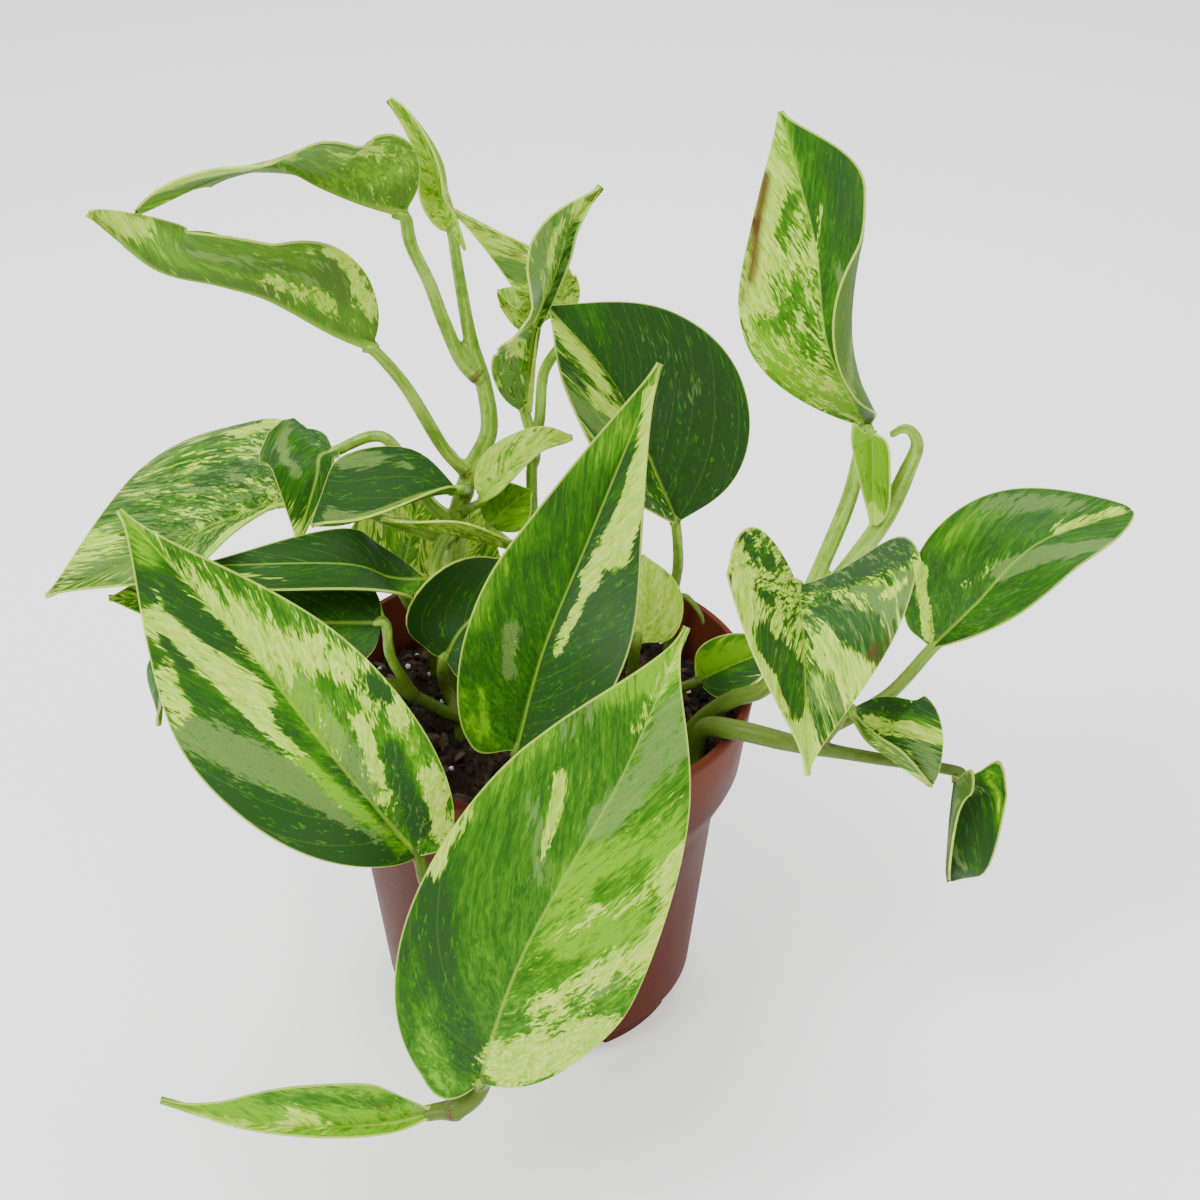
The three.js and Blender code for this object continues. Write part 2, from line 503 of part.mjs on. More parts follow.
// Each vine is one piece: its root in the soil, its stem and the stalks that carry leaves
const VINES = [
  { name: "vine_front", root: [7, -24], stalks: [
    { points: [[6, -36, 103], [4, -56, 108], [1, -82, 99], [-4, -93, 80], [-9, -100, 63], [-12, -105, 53],
      [-18, -108, 48.8]], radii: [3.4, 3.2, 3, 2.8, 2.8] },
    { points: [[7, -27, 95], [2, -36, 101], [-2, -44, 108]], radii: [2, 1.7, 1.5],
      leaf: "leaf_front_centre" },
    { points: [[-3.5, -93, 82], [-14, -90, 88], [-23, -84, 98]], radii: [2, 1.8, 1.5],
      leaf: "leaf_front_left" },
    { points: [[-10.5, -103.5, 56]], radii: [2.2, 1.8], leaf: "leaf_front_low" },
    { points: [[-16, -107.5, 49]], radii: [2.4, 2], leaf: "leaf_low_rolled" } ] },
  { name: "vine_right", root: [44, -21], stalks: [
    { points: [[46, -24, 103], [54, -32, 108], [69, -36, 106.5], [88, -37, 103]],
      radii: [3, 2.8, 2.8, 2.6, 1.8, 1.6, 1.5], leaf: "leaf_right_cupped" },
    { points: [[68, -36, 106.5], [82, -34, 113.5], [93, -28, 117]], radii: [2, 1.8, 1.6],
      leaf: "leaf_right_far" },
    { points: [[74, -36, 106], [78, -37, 113]], radii: [1.7, 1.4], leaf: "leaf_right_small" } ] },
  { name: "vine_upright", root: [43, -13], stalks: [
    { points: [[47, -15, 101], [53, -18, 108], [62, -21, 115], [68, -17, 130], [75, -12, 146],
      [82, -5, 163]],
      radii: [2.6, 2.4, 2.2, 2.2, 1.9], leaf: "leaf_right_tall" },
    { points: [[68.5, -17, 131], [78, -15, 142], [86, -13, 153], [91, -11, 161], [95, -10, 172],
      [97, -10, 180],
      [94, -10, 184.5], [90, -10, 182.5]], radii: [2.2, 2.3, 2.4, 2.5, 2.4, 1.8, 0.9], step: 5 },
    { points: [[84.5, -2, 172], [85, -5, 180]], radii: [1.4, 1.2], leaf: "leaf_right_young" },
    { points: [[64, -20.5, 118], [68, -27, 138], [67, -36, 151]], radii: [2, 1.8, 1.5],
      leaf: "leaf_right_heart" } ] },
  { name: "vine_back", root: [38, 30], stalks: [
    { points: [[38, 31, 106], [40, 33, 118]], radii: [2, 1.9, 1.6, 1.5], leaf: "leaf_back_right" },
    { points: [[38, 31, 107], [42, 27, 111.5], [46, 22, 109], [47, 20, 106.5]],
      radii: [1.2, 1, 0.6] } ] },
  { name: "vine_tall", root: [-22, 8], stalks: [
    { points: [[-22, 10, 120], [-20, 13, 145], [-16, 14, 159], [-11, 14, 171], [-12, 15, 184],
      [-15, 15, 197],
      [-17.5, 20, 211]], radii: [3.2, 3.1, 3, 2.8, 2.6, 2.2, 1.7, 1.4], leaf: "leaf_top_rolled" },
    { points: [[-12.5, 14.8, 186], [-17, 14, 191], [-21, 13, 202], [-24.5, 12, 214], [-28.5, 10.3, 225]],
      radii: [2.2, 2, 1.8, 1.6], leaf: "leaf_top_left" },
    { points: [[-16, 14, 158], [-20, 12.5, 163], [-24, 11, 170], [-31, 4, 189]],
      radii: [2, 1.8, 1.6], leaf: "leaf_upper_left" },
    { points: [[-20, 13, 143], [-28, 12, 152], [-38, 12, 170]], radii: [2, 1.7, 1.5],
      leaf: "leaf_left_folded" },
    { points: [[-17, 13.5, 152], [-18, 11, 155]], radii: [1.6, 1.4], leaf: "leaf_centre_left" },
    { points: [[-21, 12.5, 138], [-34, 8, 146], [-50, 4, 155]], radii: [2, 1.7, 1.5],
      leaf: "leaf_left_large" },
    { points: [[-20.5, 12.5, 141], [-23.5, 7, 142], [-25.5, 2, 138]], radii: [1.8, 1.6, 1.4],
      leaf: "leaf_left_dark" },
    { points: [[-19, 13.5, 147]], radii: [1.5, 1.3], leaf: "leaf_centre_pale" } ] },
  { name: "vine_middle", root: [0, 8], stalks: [
    { points: [[0, 10, 130], [0, 12, 158], [0.5, 13, 168]], radii: [2.2, 2.1, 1.9, 1.6, 1.5],
      leaf: "leaf_twisted" },
    { points: [[0.3, 12.5, 162], [2, 22, 170], [3, 36, 177], [8, 46, 181.5]], radii: [1.6, 1.5],
      leaf: "leaf_behind_twisted" },
    { points: [[0, 10, 132], [-6, 9.5, 139]], radii: [1.5, 1.3], leaf: "leaf_back_bright" },
    { points: [[0, 9.6, 124], [1, 3, 138]], radii: [1.5, 1.3], leaf: "leaf_centre_edge" } ] },
  { name: "vine_back_left", root: [-29, 24], stalks: [
    { points: [[-30, 24, 102], [-36, 26, 110]], radii: [1.8, 1.7, 1.5], leaf: "leaf_back_pale_left" },
    { points: [[-29, 24, 97], [-24, 25, 108]], radii: [1.6, 1.4], leaf: "leaf_back_pale_right" } ] },
  { name: "vine_inner", root: [26, 4], stalks: [
    { points: [[27, 1, 106]], radii: [1.8, 1.7, 1.5], leaf: "leaf_pot_pale" },
    { points: [[26, 4, 95], [33, 0, 98], [40, -4, 102]], radii: [1.7, 1.6, 1.5],
      leaf: "leaf_rim_right" } ] },
  { name: "vine_low_left", root: [-20, -8], stalks: [
    { points: [[-24, -11, 99], [-30, -15, 106], [-38, -21, 115], [-56, -26, 122.5],
      [-74, -25, 127.5], [-83, -17, 131]],
      radii: [2, 1.8, 1.6, 1.4], leaf: "leaf_left_tip" },
    { points: [[-78, -23, 129.5]], radii: [1.4, 1.3], leaf: "leaf_left_hanging" },
    { points: [[-31, -15.5, 107], [-36, -22, 124]], radii: [1.5, 1.4], leaf: "leaf_left_under" },
    { points: [[-20, -8, 95], [-24, -6, 105]], radii: [1.8, 1.6], leaf: "leaf_centre_cupped" } ] },
];

addMesh("pot", pot(), "#8f3a26", 0.5);
addMesh("soil", soil(), "#2c1f18", 0.95);
for (const one of VINES) addMesh(one.name, vine(one), STALK_GREEN, 0.45);
for (const leaf of LEAVES) addMesh(leaf.name, blade(leaf), leaf.colour, 0.4);

export default plant;
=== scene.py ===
"""Fine leaves, stems, pot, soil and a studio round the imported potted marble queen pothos."""
import math

import bpy
import numpy as np
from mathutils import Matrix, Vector
from mathutils.kdtree import KDTree


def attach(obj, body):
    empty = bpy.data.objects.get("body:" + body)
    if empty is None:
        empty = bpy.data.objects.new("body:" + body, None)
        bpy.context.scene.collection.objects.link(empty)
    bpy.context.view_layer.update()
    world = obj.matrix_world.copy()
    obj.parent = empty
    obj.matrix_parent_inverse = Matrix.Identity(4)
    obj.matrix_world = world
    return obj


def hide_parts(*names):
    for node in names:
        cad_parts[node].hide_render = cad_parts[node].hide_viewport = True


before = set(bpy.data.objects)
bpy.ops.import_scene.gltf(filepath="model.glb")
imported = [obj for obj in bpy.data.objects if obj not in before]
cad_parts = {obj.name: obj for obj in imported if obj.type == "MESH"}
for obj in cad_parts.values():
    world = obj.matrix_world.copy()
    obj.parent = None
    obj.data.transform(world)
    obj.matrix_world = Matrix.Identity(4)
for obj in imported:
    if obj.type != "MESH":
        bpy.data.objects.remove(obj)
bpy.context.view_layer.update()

bl_info = {
    "name": "Potted Marble Queen Pothos",
    "version": (1, 0, 0),
    "blender": (4, 5, 0),
    "location": "View3D > Sidebar > Pothos",
    "description": "Marbled leaves, stems, nursery pot, soil and a plain studio",
    "category": "Object",
}

MM = 0.001

# Leaf shapes in millimetres and degrees, the same as in the part's source. mid is the midrib from
# base to tip, and face the way that the upper side faces along it. Each pair is the left and the
# right half: how wide it is, how far its lobe reaches back, how its outline swells and tapers, how
# it folds up from the midrib and how it rolls towards the margin. No lobe, fold or roll means none,
# and span and wave stand where the shared ones in BLADE don't fit.
LEAVES = [
    {"name": "leaf_front_low",
     "mid": [[-11, -108, 59], [-0.6, -100.4, 91.6], [23.4, -79.2, 130.2], [38.1, -62.1, 159.8]],
     "face": [[0, -8, 6], [0, -8, 4]], "half": [30.8, 29.4], "lobe": [14.1, 4],
     "shape": [[0.96, 1.2], [0.76, 1.4]], "fold": [[24], [-2]], "roll": [[-7], [-20]]},
    {"name": "leaf_front_left",
     "mid": [[-26, -80, 106], [-44.3, -72.4, 128.3], [-67.4, -53, 148.7], [-98.1, -32.1, 174]],
     "face": [[1, -8, 6], [-1, -8, 5]], "half": [29, 22.5], "lobe": [4, 9.2],
     "shape": [[1.01, 0.98], [0.72, 1.07]], "fold": [[28], [19]], "roll": [[2], [-4]]},
    {"name": "leaf_front_centre",
     "mid": [[-3, -48, 114], [3.8, -39.1, 137.4], [15, -25.3, 161.2], [32.7, -10.5, 202.4]],
     "face": [[0, -8, 5], [1, -8, 4]], "half": [21.4, 22.2], "lobe": [8.8, 3.7],
     "shape": [[0.53, 0.75], [0.78, 1.17]], "fold": [[21], [30]], "roll": [[5], [0]]},
    {"name": "leaf_back_right",
     "mid": [[39, 32, 133], [30, 34, 156.1], [19.9, 31.5, 178.6], [4, 37.3, 195.8]],
     "face": [[3, -8, 3], [3, -8, 3]], "half": [35.4, 31.6], "lobe": [2.2, 2.2],
     "shape": [[1.36, 1.06], [0.49, 0.69]], "fold": [[53], [6]], "roll": [[0], [7]]},
    {"name": "leaf_right_tall",
     "mid": [[85, 0, 180], [73.2, -8.8, 206.4], [69.3, -1.9, 230.9], [60.3, 8.1, 259.2]],
     "face": [[0, -8, 3], [-1, -8, 3]], "half": [25, 31.1], "lobe": [0.1, 4.2],
     "shape": [[0.77, 0.85], [1.5, 0.99]], "fold": [[-36], [58, 23]],
     "roll": [[-4], [110, 122, 93, 64, -12]]},
    {"name": "leaf_right_young",
     "mid": [[85, -11, 183.5], [85.7, -11.5, 178.8], [87, -14.4, 159.2]], "face": [[0, -8, 4]],
     "half": [7.7, 5.5], "lobe": [0.1, 6.1], "shape": [[0.99, 0.4], [0.34, 0.71]], "fold": [[30], [7]],
     "roll": [[65], [19]], "wave": 0.2},
    {"name": "leaf_right_heart",
     "mid": [[66, -40, 157], [67, -51, 147.9], [68.3, -65.6, 119.1]], "face": [[0, -8, 5]],
     "half": [31.1, 24.7], "lobe": [14.6, 20.1], "shape": [[0.43, 1.05], [1.02, 1.4]],
     "fold": [[23], [44]], "span": 0.2},
    {"name": "leaf_right_far",
     "mid": [[104, -20, 126], [114.7, -14.8, 135.3], [131.8, -3.7, 147.2], [158.3, 8.2, 150.4]],
     "face": [[0, -3, 8]], "half": [22.3, 15.9], "lobe": [4.6, 2.2],
     "shape": [[0.49, 0.4], [1.08, 0.47]], "fold": [[-4], [24]]},
    {"name": "leaf_right_small",
     "mid": [[82, -38, 119], [85.6, -44.2, 114.6], [91, -45.1, 109.9], [102.9, -44.1, 99.7]],
     "face": [[4, -4, 6]], "half": [18, 7.8], "lobe": [1.5, 0], "shape": [[0.57, 0.4], [1.5, 0.87]],
     "fold": [[48], [72]]},
    {"name": "leaf_right_cupped",
     "mid": [[111, -36, 96], [110.7, -37.3, 91.5], [110.5, -41.7, 73.4], [111.4, -39.5, 63.9]],
     "face": [[0, -8, 2]], "half": [13.6, 12.1], "lobe": [9, 9], "shape": [[0.33, 0.59], [0.33, 1.4]],
     "fold": [[11], [73]], "roll": [[21, 67], [53, 0]]},
    {"name": "leaf_rim_right",
     "mid": [[45, -6, 106], [54, -6, 111], [66, -2, 114]], "face": [[0, -6, 7]], "half": [9, 9],
     "shape": [[0.5, 0.7], [0.5, 0.7]], "fold": [[30], [20]]},
    {"name": "leaf_top_left",
     "mid": [[-30, 8, 234], [-38.4, 4.3, 238.9], [-47.9, 1.1, 244], [-58, -3.6, 250.3],
             [-70.4, -11.7, 250.7], [-88.3, -18.8, 245]], "face": [[0, 0, 8]], "half": [25.9, 25.6],
     "lobe": [5.1, 0.3], "shape": [[0.64, 0.44], [0.68, 0.74]],
     "fold": [[88, 67, 35, 20, 45], [10, 6, -20, -28, -22]]},
    {"name": "leaf_upper_left",
     "mid": [[-38, -2, 203], [-47.8, -6.1, 209.8], [-60.6, -13.5, 221.6], [-70.9, -17.1, 226.9],
             [-85.2, -18.7, 231.6], [-97.1, -26.2, 247.7]], "face": [[0, 0, 8]], "half": [19.1, 14.5],
     "lobe": [1.6, 4], "shape": [[0.51, 0.55], [0.6, 0.61]],
     "fold": [[110, 93, 62, 69, 119], [11, 28, 10, 42, 4]], "roll": [[-10], [-2]]},
    {"name": "leaf_top_rolled",
     "mid": [[-19.5, 24, 222.5], [-22, 25.4, 231.9], [-24.2, 23.8, 242.8], [-33.4, 24.3, 256.5]],
     "face": [[0, -8, 2]], "half": [6.1, 9.3], "lobe": [1.4, 8.2],
     "shape": [[0.86, 1.38], [0.63, 0.44]], "fold": [[23], [31]], "roll": [[32], [95]], "wave": 0.2},
    {"name": "leaf_low_rolled",
     "mid": [[-23, -108, 48.5], [-34.2, -109.1, 46.1], [-50.6, -111, 46.8], [-71.4, -106.1, 43.7],
             [-90, -102.7, 47.4]], "face": [[0, -6, 6]], "half": [3.4, 12.5], "lobe": [0.1, 0.4],
     "shape": [[0.66, 1.25], [1.07, 1.4]], "fold": [[33], [27]], "roll": [[13], [17]], "wave": 0.2},
    {"name": "leaf_behind_twisted",
     "mid": [[8.6, 50.4, 188.6], [6.3, 51.3, 197.4], [2.4, 44.9, 205], [-20.5, 45.5, 218.9]],
     "face": [[0, -8, 2]], "half": [17.1, 5.5], "lobe": [6, 0], "shape": [[0.4, 0.9], [0.4, 1.2]],
     "fold": [[8], [15]], "roll": [[0], [-4]]},
    {"name": "leaf_twisted",
     "mid": [[-1.5, 14, 177], [1, 11.7, 198.8], [2.8, 11, 205.3], [7.5, 11.5, 219.2],
             [10.6, 10.5, 229.1], [18.2, 10.7, 239.4]], "face": [[-1, -8, 2], [1, -8, 2]],
     "half": [18.6, 3], "lobe": [1.2, 3.2], "shape": [[0.74, 0.85], [1.49, 0.68]],
     "fold": [[22, 66, 84, 50, 35], [15, 48, 33, 29, 50]], "roll": [[-2], [0]]},
    {"name": "leaf_centre_pale",
     "mid": [[-13, 4, 156.5], [-5.5, 5, 165], [3, 7, 171], [11, 8, 172]], "face": [[-3, -4, 7]],
     "half": [7, 7], "shape": [[0.5, 0.9], [0.5, 0.9]], "fold": [[40], [30]]},
    {"name": "leaf_left_large",
     "mid": [[-65, 6, 154.5], [-81.1, -3.1, 153.3], [-95.2, -11.6, 150], [-121.8, -25.2, 144.9]],
     "face": [[-2, -6, 7], [-3, -6, 6]], "half": [19.2, 37.3], "lobe": [1.8, 17.3],
     "shape": [[1.5, 0.88], [0.37, 0.9]], "fold": [[52], [7]], "roll": [[-27], [-56]]},
    {"name": "leaf_left_folded",
     "mid": [[-51, 7, 169], [-54.1, 3.4, 169.2], [-55.1, 0.3, 164.1], [-60.6, -3.8, 148]],
     "face": [[1, -5, 7], [2, -8, 2]], "half": [5.1, 15.8], "lobe": [0.5, 5.2],
     "shape": [[0.4, 0.63], [0.63, 0.83]], "fold": [[35], [-18]], "roll": [[15], [0]]},
    {"name": "leaf_centre_left",
     "mid": [[-19, -2, 163], [-26.5, -5.7, 163.5], [-44.1, -12.5, 159.9], [-54.7, -16.1, 160.2]],
     "face": [[0, -3, 8]], "half": [6.3, 17.2], "lobe": [0.1, 0.2],
     "shape": [[0.63, 0.93], [1.07, 0.72]], "fold": [[49], [17]]},
    {"name": "leaf_left_dark",
     "mid": [[-27, -3.5, 136.1], [-36.6, -5.8, 138.5], [-49, -11, 145.4], [-87.1, -19.4, 150]],
     "face": [[0, -3, 8]], "half": [22.3, 12.1], "lobe": [3, 0], "shape": [[1.28, 0.4], [1.5, 1.11]],
     "fold": [[14], [3]], "roll": [[44], [0]]},
    {"name": "leaf_left_under",
     "mid": [[-38, -23, 135.5], [-59.6, -21.8, 134.3], [-77.2, -23.7, 132.3]], "face": [[0, -6, 7]],
     "half": [12.2, 15.1], "shape": [[0.39, 1.01], [0.39, 0.77]], "fold": [[-3], [-12]]},
    {"name": "leaf_centre_cupped",
     "mid": [[-22.6, -17.2, 120.7], [-16.5, -18.7, 132.2], [-0.5, -13.7, 145]], "face": [[0, -7, 6]],
     "half": [17.5, 14], "lobe": [3, 2], "shape": [[0.83, 0.48], [0.5, 0.6]], "fold": [[8], [20]],
     "roll": [[61], [30]]},
    {"name": "leaf_back_pale_left",
     "mid": [[-38, 28, 116], [-35, 30, 128], [-32, 34, 139]], "face": [[0, -8, 2]], "half": [17, 12],
     "lobe": [3, 3], "shape": [[0.4, 0.6], [0.4, 0.6]]},
    {"name": "leaf_back_pale_right",
     "mid": [[-22, 26, 116], [-21, 28, 127], [-16, 32, 139]], "face": [[0, -8, 2]], "half": [11, 12],
     "lobe": [3, 3], "shape": [[0.4, 0.6], [0.4, 0.6]]},
    {"name": "leaf_centre_edge",
     "mid": [[-3, -6, 148], [-20, -10, 155], [-37, -14, 161]], "face": [[0, 5, 8]], "half": [8, 8],
     "shape": [[0.6, 0.9], [0.6, 0.9]], "fold": [[10], [10]]},
    {"name": "leaf_pot_pale",
     "mid": [[28, -3, 117], [31, 0, 127], [29, 6, 138]], "face": [[0, -8, 4]], "half": [9, 9.5],
     "shape": [[0.4, 0.6], [0.4, 0.6]]},
    {"name": "leaf_left_tip",
     "mid": [[-86, -11, 133], [-96, -12, 136], [-109, -14, 137]], "face": [[0, -5, 7]], "half": [7, 7],
     "shape": [[0.6, 0.9], [0.6, 0.9]]},
    {"name": "leaf_left_hanging",
     "mid": [[-89, -23, 134], [-94, -30, 125], [-96, -32, 110]], "face": [[-8, -3, 2]], "half": [8, 8],
     "shape": [[0.6, 0.9], [0.6, 0.9]], "fold": [[10], [10]]},
    {"name": "leaf_back_bright",
     "mid": [[-11, 8, 146], [-6, 6, 153], [0, 5, 158]], "face": [[0, -8, 4]], "half": [7, 7],
     "shape": [[0.5, 0.6], [0.5, 0.6]]},
]

# Stems in millimetres: the root in the soil, and the stalks with their points and radii
VINES = [
    {"name": "vine_front", "root": [7, -24], "stalks": [
        {"points": [[6, -36, 103], [4, -56, 108], [1, -82, 99], [-4, -93, 80], [-9, -100, 63],
                    [-12, -105, 53], [-18, -108, 48.8]], "radii": [3.4, 3.2, 3, 2.8, 2.8]},
        {"points": [[7, -27, 95], [2, -36, 101], [-2, -44, 108]], "radii": [2, 1.7, 1.5],
         "leaf": "leaf_front_centre"},
        {"points": [[-3.5, -93, 82], [-14, -90, 88], [-23, -84, 98]], "radii": [2, 1.8, 1.5],
         "leaf": "leaf_front_left"},
        {"points": [[-10.5, -103.5, 56]], "radii": [2.2, 1.8], "leaf": "leaf_front_low"},
        {"points": [[-16, -107.5, 49]], "radii": [2.4, 2], "leaf": "leaf_low_rolled"},
    ]},
    {"name": "vine_right", "root": [44, -21], "stalks": [
        {"points": [[46, -24, 103], [54, -32, 108], [69, -36, 106.5], [88, -37, 103]],
         "radii": [3, 2.8, 2.8, 2.6, 1.8, 1.6, 1.5], "leaf": "leaf_right_cupped"},
        {"points": [[68, -36, 106.5], [82, -34, 113.5], [93, -28, 117]], "radii": [2, 1.8, 1.6],
         "leaf": "leaf_right_far"},
        {"points": [[74, -36, 106], [78, -37, 113]], "radii": [1.7, 1.4], "leaf": "leaf_right_small"},
    ]},
    {"name": "vine_upright", "root": [43, -13], "stalks": [
        {"points": [[47, -15, 101], [53, -18, 108], [62, -21, 115], [68, -17, 130], [75, -12, 146],
                    [82, -5, 163]], "radii": [2.6, 2.4, 2.2, 2.2, 1.9], "leaf": "leaf_right_tall"},
        {"points": [[68.5, -17, 131], [78, -15, 142], [86, -13, 153], [91, -11, 161], [95, -10, 172],
                    [97, -10, 180], [94, -10, 184.5], [90, -10, 182.5]],
         "radii": [2.2, 2.3, 2.4, 2.5, 2.4, 1.8, 0.9]},
        {"points": [[84.5, -2, 172], [85, -5, 180]], "radii": [1.4, 1.2], "leaf": "leaf_right_young"},
        {"points": [[64, -20.5, 118], [68, -27, 138], [67, -36, 151]], "radii": [2, 1.8, 1.5],
         "leaf": "leaf_right_heart"},
    ]},
    {"name": "vine_back", "root": [38, 30], "stalks": [
        {"points": [[38, 31, 106], [40, 33, 118]], "radii": [2, 1.9, 1.6, 1.5],
         "leaf": "leaf_back_right"},
        {"points": [[38, 31, 107], [42, 27, 111.5], [46, 22, 109], [47, 20, 106.5]],
         "radii": [1.2, 1, 0.6]},
    ]},
    {"name": "vine_tall", "root": [-22, 8], "stalks": [
        {"points": [[-22, 10, 120], [-20, 13, 145], [-16, 14, 159], [-11, 14, 171], [-12, 15, 184],
                    [-15, 15, 197], [-17.5, 20, 211]], "radii": [3.2, 3.1, 3, 2.8, 2.6, 2.2, 1.7, 1.4],
         "leaf": "leaf_top_rolled"},
        {"points": [[-12.5, 14.8, 186], [-17, 14, 191], [-21, 13, 202], [-24.5, 12, 214],
                    [-28.5, 10.3, 225]], "radii": [2.2, 2, 1.8, 1.6], "leaf": "leaf_top_left"},
        {"points": [[-16, 14, 158], [-20, 12.5, 163], [-24, 11, 170], [-31, 4, 189]],
         "radii": [2, 1.8, 1.6], "leaf": "leaf_upper_left"},
        {"points": [[-20, 13, 143], [-28, 12, 152], [-38, 12, 170]], "radii": [2, 1.7, 1.5],
         "leaf": "leaf_left_folded"},
        {"points": [[-17, 13.5, 152], [-18, 11, 155]], "radii": [1.6, 1.4], "leaf": "leaf_centre_left"},
        {"points": [[-21, 12.5, 138], [-34, 8, 146], [-50, 4, 155]], "radii": [2, 1.7, 1.5],
         "leaf": "leaf_left_large"},
        {"points": [[-20.5, 12.5, 141], [-23.5, 7, 142], [-25.5, 2, 138]], "radii": [1.8, 1.6, 1.4],
         "leaf": "leaf_left_dark"},
        {"points": [[-19, 13.5, 147]], "radii": [1.5, 1.3], "leaf": "leaf_centre_pale"},
    ]},
    {"name": "vine_middle", "root": [0, 8], "stalks": [
        {"points": [[0, 10, 130], [0, 12, 158], [0.5, 13, 168]], "radii": [2.2, 2.1, 1.9, 1.6, 1.5],
         "leaf": "leaf_twisted"},
        {"points": [[0.3, 12.5, 162], [2, 22, 170], [3, 36, 177], [8, 46, 181.5]], "radii": [1.6, 1.5],
         "leaf": "leaf_behind_twisted"},
        {"points": [[0, 10, 132], [-6, 9.5, 139]], "radii": [1.5, 1.3], "leaf": "leaf_back_bright"},
        {"points": [[0, 9.6, 124], [1, 3, 138]], "radii": [1.5, 1.3], "leaf": "leaf_centre_edge"},
    ]},
    {"name": "vine_back_left", "root": [-29, 24], "stalks": [
        {"points": [[-30, 24, 102], [-36, 26, 110]], "radii": [1.8, 1.7, 1.5],
         "leaf": "leaf_back_pale_left"},
        {"points": [[-29, 24, 97], [-24, 25, 108]], "radii": [1.6, 1.4], "leaf": "leaf_back_pale_right"},
    ]},
    {"name": "vine_inner", "root": [26, 4], "stalks": [
        {"points": [[27, 1, 106]], "radii": [1.8, 1.7, 1.5], "leaf": "leaf_pot_pale"},
        {"points": [[26, 4, 95], [33, 0, 98], [40, -4, 102]], "radii": [1.7, 1.6, 1.5],
         "leaf": "leaf_rim_right"},
    ]},
    {"name": "vine_low_left", "root": [-20, -8], "stalks": [
        {"points": [[-24, -11, 99], [-30, -15, 106], [-38, -21, 115], [-56, -26, 122.5],
                    [-74, -25, 127.5], [-83, -17, 131]], "radii": [2, 1.8, 1.6, 1.4],
         "leaf": "leaf_left_tip"},
        {"points": [[-78, -23, 129.5]], "radii": [1.4, 1.3], "leaf": "leaf_left_hanging"},
        {"points": [[-31, -15.5, 107], [-36, -22, 124]], "radii": [1.5, 1.4], "leaf": "leaf_left_under"},
        {"points": [[-20, -8, 95], [-24, -6, 105]], "radii": [1.8, 1.6], "leaf": "leaf_centre_cupped"},
    ]},
]

# What all blades share in their outline, and their lobes, folds and rolls where none are given
BLADE = {"tip_draw": 0.6, "base_half": 0.5, "lobe_span": 0.1, "sinus": 0.002, "vein_bend": 1.4,
         "wave": 0.6}
NO_LOBES = [0, 0]
LEVEL = [[0], [0]]

# Heights of the soil and of the ends of the stems in it, in millimetres
SOIL_Z = 90
ROOT_Z = 72

# How far a side vein runs towards the tip for each millimetre out from the midrib, at the base and
# how much more at the tip, and how long it is for each of these millimetres
VEIN_SLANT = 0.6
VEIN_CURVE = 1.6
VEIN_STRETCH = 1.6

# Scales of the marbling across and along the side veins: patches, streaks and flecks
MARBLING = ((0.16, 0.07, 1.0), (0.5, 0.19, 1.0), (1.3, 0.6, 1.0))

# Fine relief of a blade in millimetres: how far its upper side lies above its middle, the groove and
# the ridge along the midrib, the ribs between the side veins, its slow billows, and the width over
# which the ribs fade out at the midrib and at the margin
BLADE_LIFT = 0.25
GROOVE_WIDTH = 0.9
RIDGE_WIDTH = 1.1
RIB_HEIGHT = 0.13
BILLOW_HEIGHT = 0.35
RIB_FADE = 3

# The last two points of a stalk, before and beyond the base of its blade: how far along the midrib
# and how far below it, in millimetres
STALK_BEFORE = (1.2, 0.8)
STALK_BEYOND = (2.0, 0.9)

# A petiole's groove: its half width and its lips' place and width in radians, and its depth and the
# lips' height as shares
PETIOLE = {"groove": 0.45, "lip_at": 0.85, "lip": 0.25, "depth": 0.35, "lip_height": 0.3}

# Stalks in millimetres: the step between rows, the knot and the scar at their foot, and the height
# over which the old olive skin gives way to the green one. The knot's size and the most of the old
# skin are shares.
STALK_STEP = 0.9
STALK_SIDES = 20
KNOT = {"at": 1.5, "width": 2.0, "size": 0.22}
SCAR = {"at": 2.2, "width": 0.9}
OLD_SKIN = {"top": 132, "fade": 30, "most": 0.85}

# The pot's shell as radius and height in millimetres, up the outside and down the inside
POT_OUTSIDE = [(0, 0), (40, 0), (41, 1), (41.6, 6.4), (44.2, 7.6), (50.4, 66), (55.8, 77), (57, 80)]
POT_INSIDE = [(55.6, 80), (49, 66), (42.8, 7), (39.6, 2.8), (37.6, 1.8), (0, 1.8)]
RIM_WALL = 2.4

# Drain holes and the notches of the foot, in millimetres
DRAINS = 8
HOLE = {"ring": 27.06, "radius": 3.2, "depth": 8}
NOTCH = {"ring": 41.6, "size": (5, 9, 5)}

# The soil in millimetres: its gap to the pot, the disc that the bits lie on, its levels down the
# pot's wall, the size and depth of its waves and how high and low they may go. Then the squares
# along its grid, its waves of each size and the seed of all that is drawn at random.
SOIL_GAP = 0.4
BITS_RADIUS = 53.5
SOIL_LEVELS = (80, 66, 8)
SOIL_WAVES = ((5.0, 0.7), (2.4, 0.6), (1.2, 0.35))
SOIL_RELIEF = (-1.2, 1.0)
SOIL_GRID = 150
WAVES_EACH = 10
SOIL_SEED = 7

# The camera's place, each lamp's place and width, and where the lamps point, in metres. A lamp's
# name is also that of its setting.
CAMERA_PLACE = (0.018, -0.4718, 0.4293)
LAMPS = {"key": ((-0.5, -0.5, 1.0), 0.7), "fill": ((0.9, -0.7, 0.7), 1.0), "top": ((0.1, 0.6, 1.1), 0.8)}
LAMP_AIM = Vector((0, 0, 0.12))

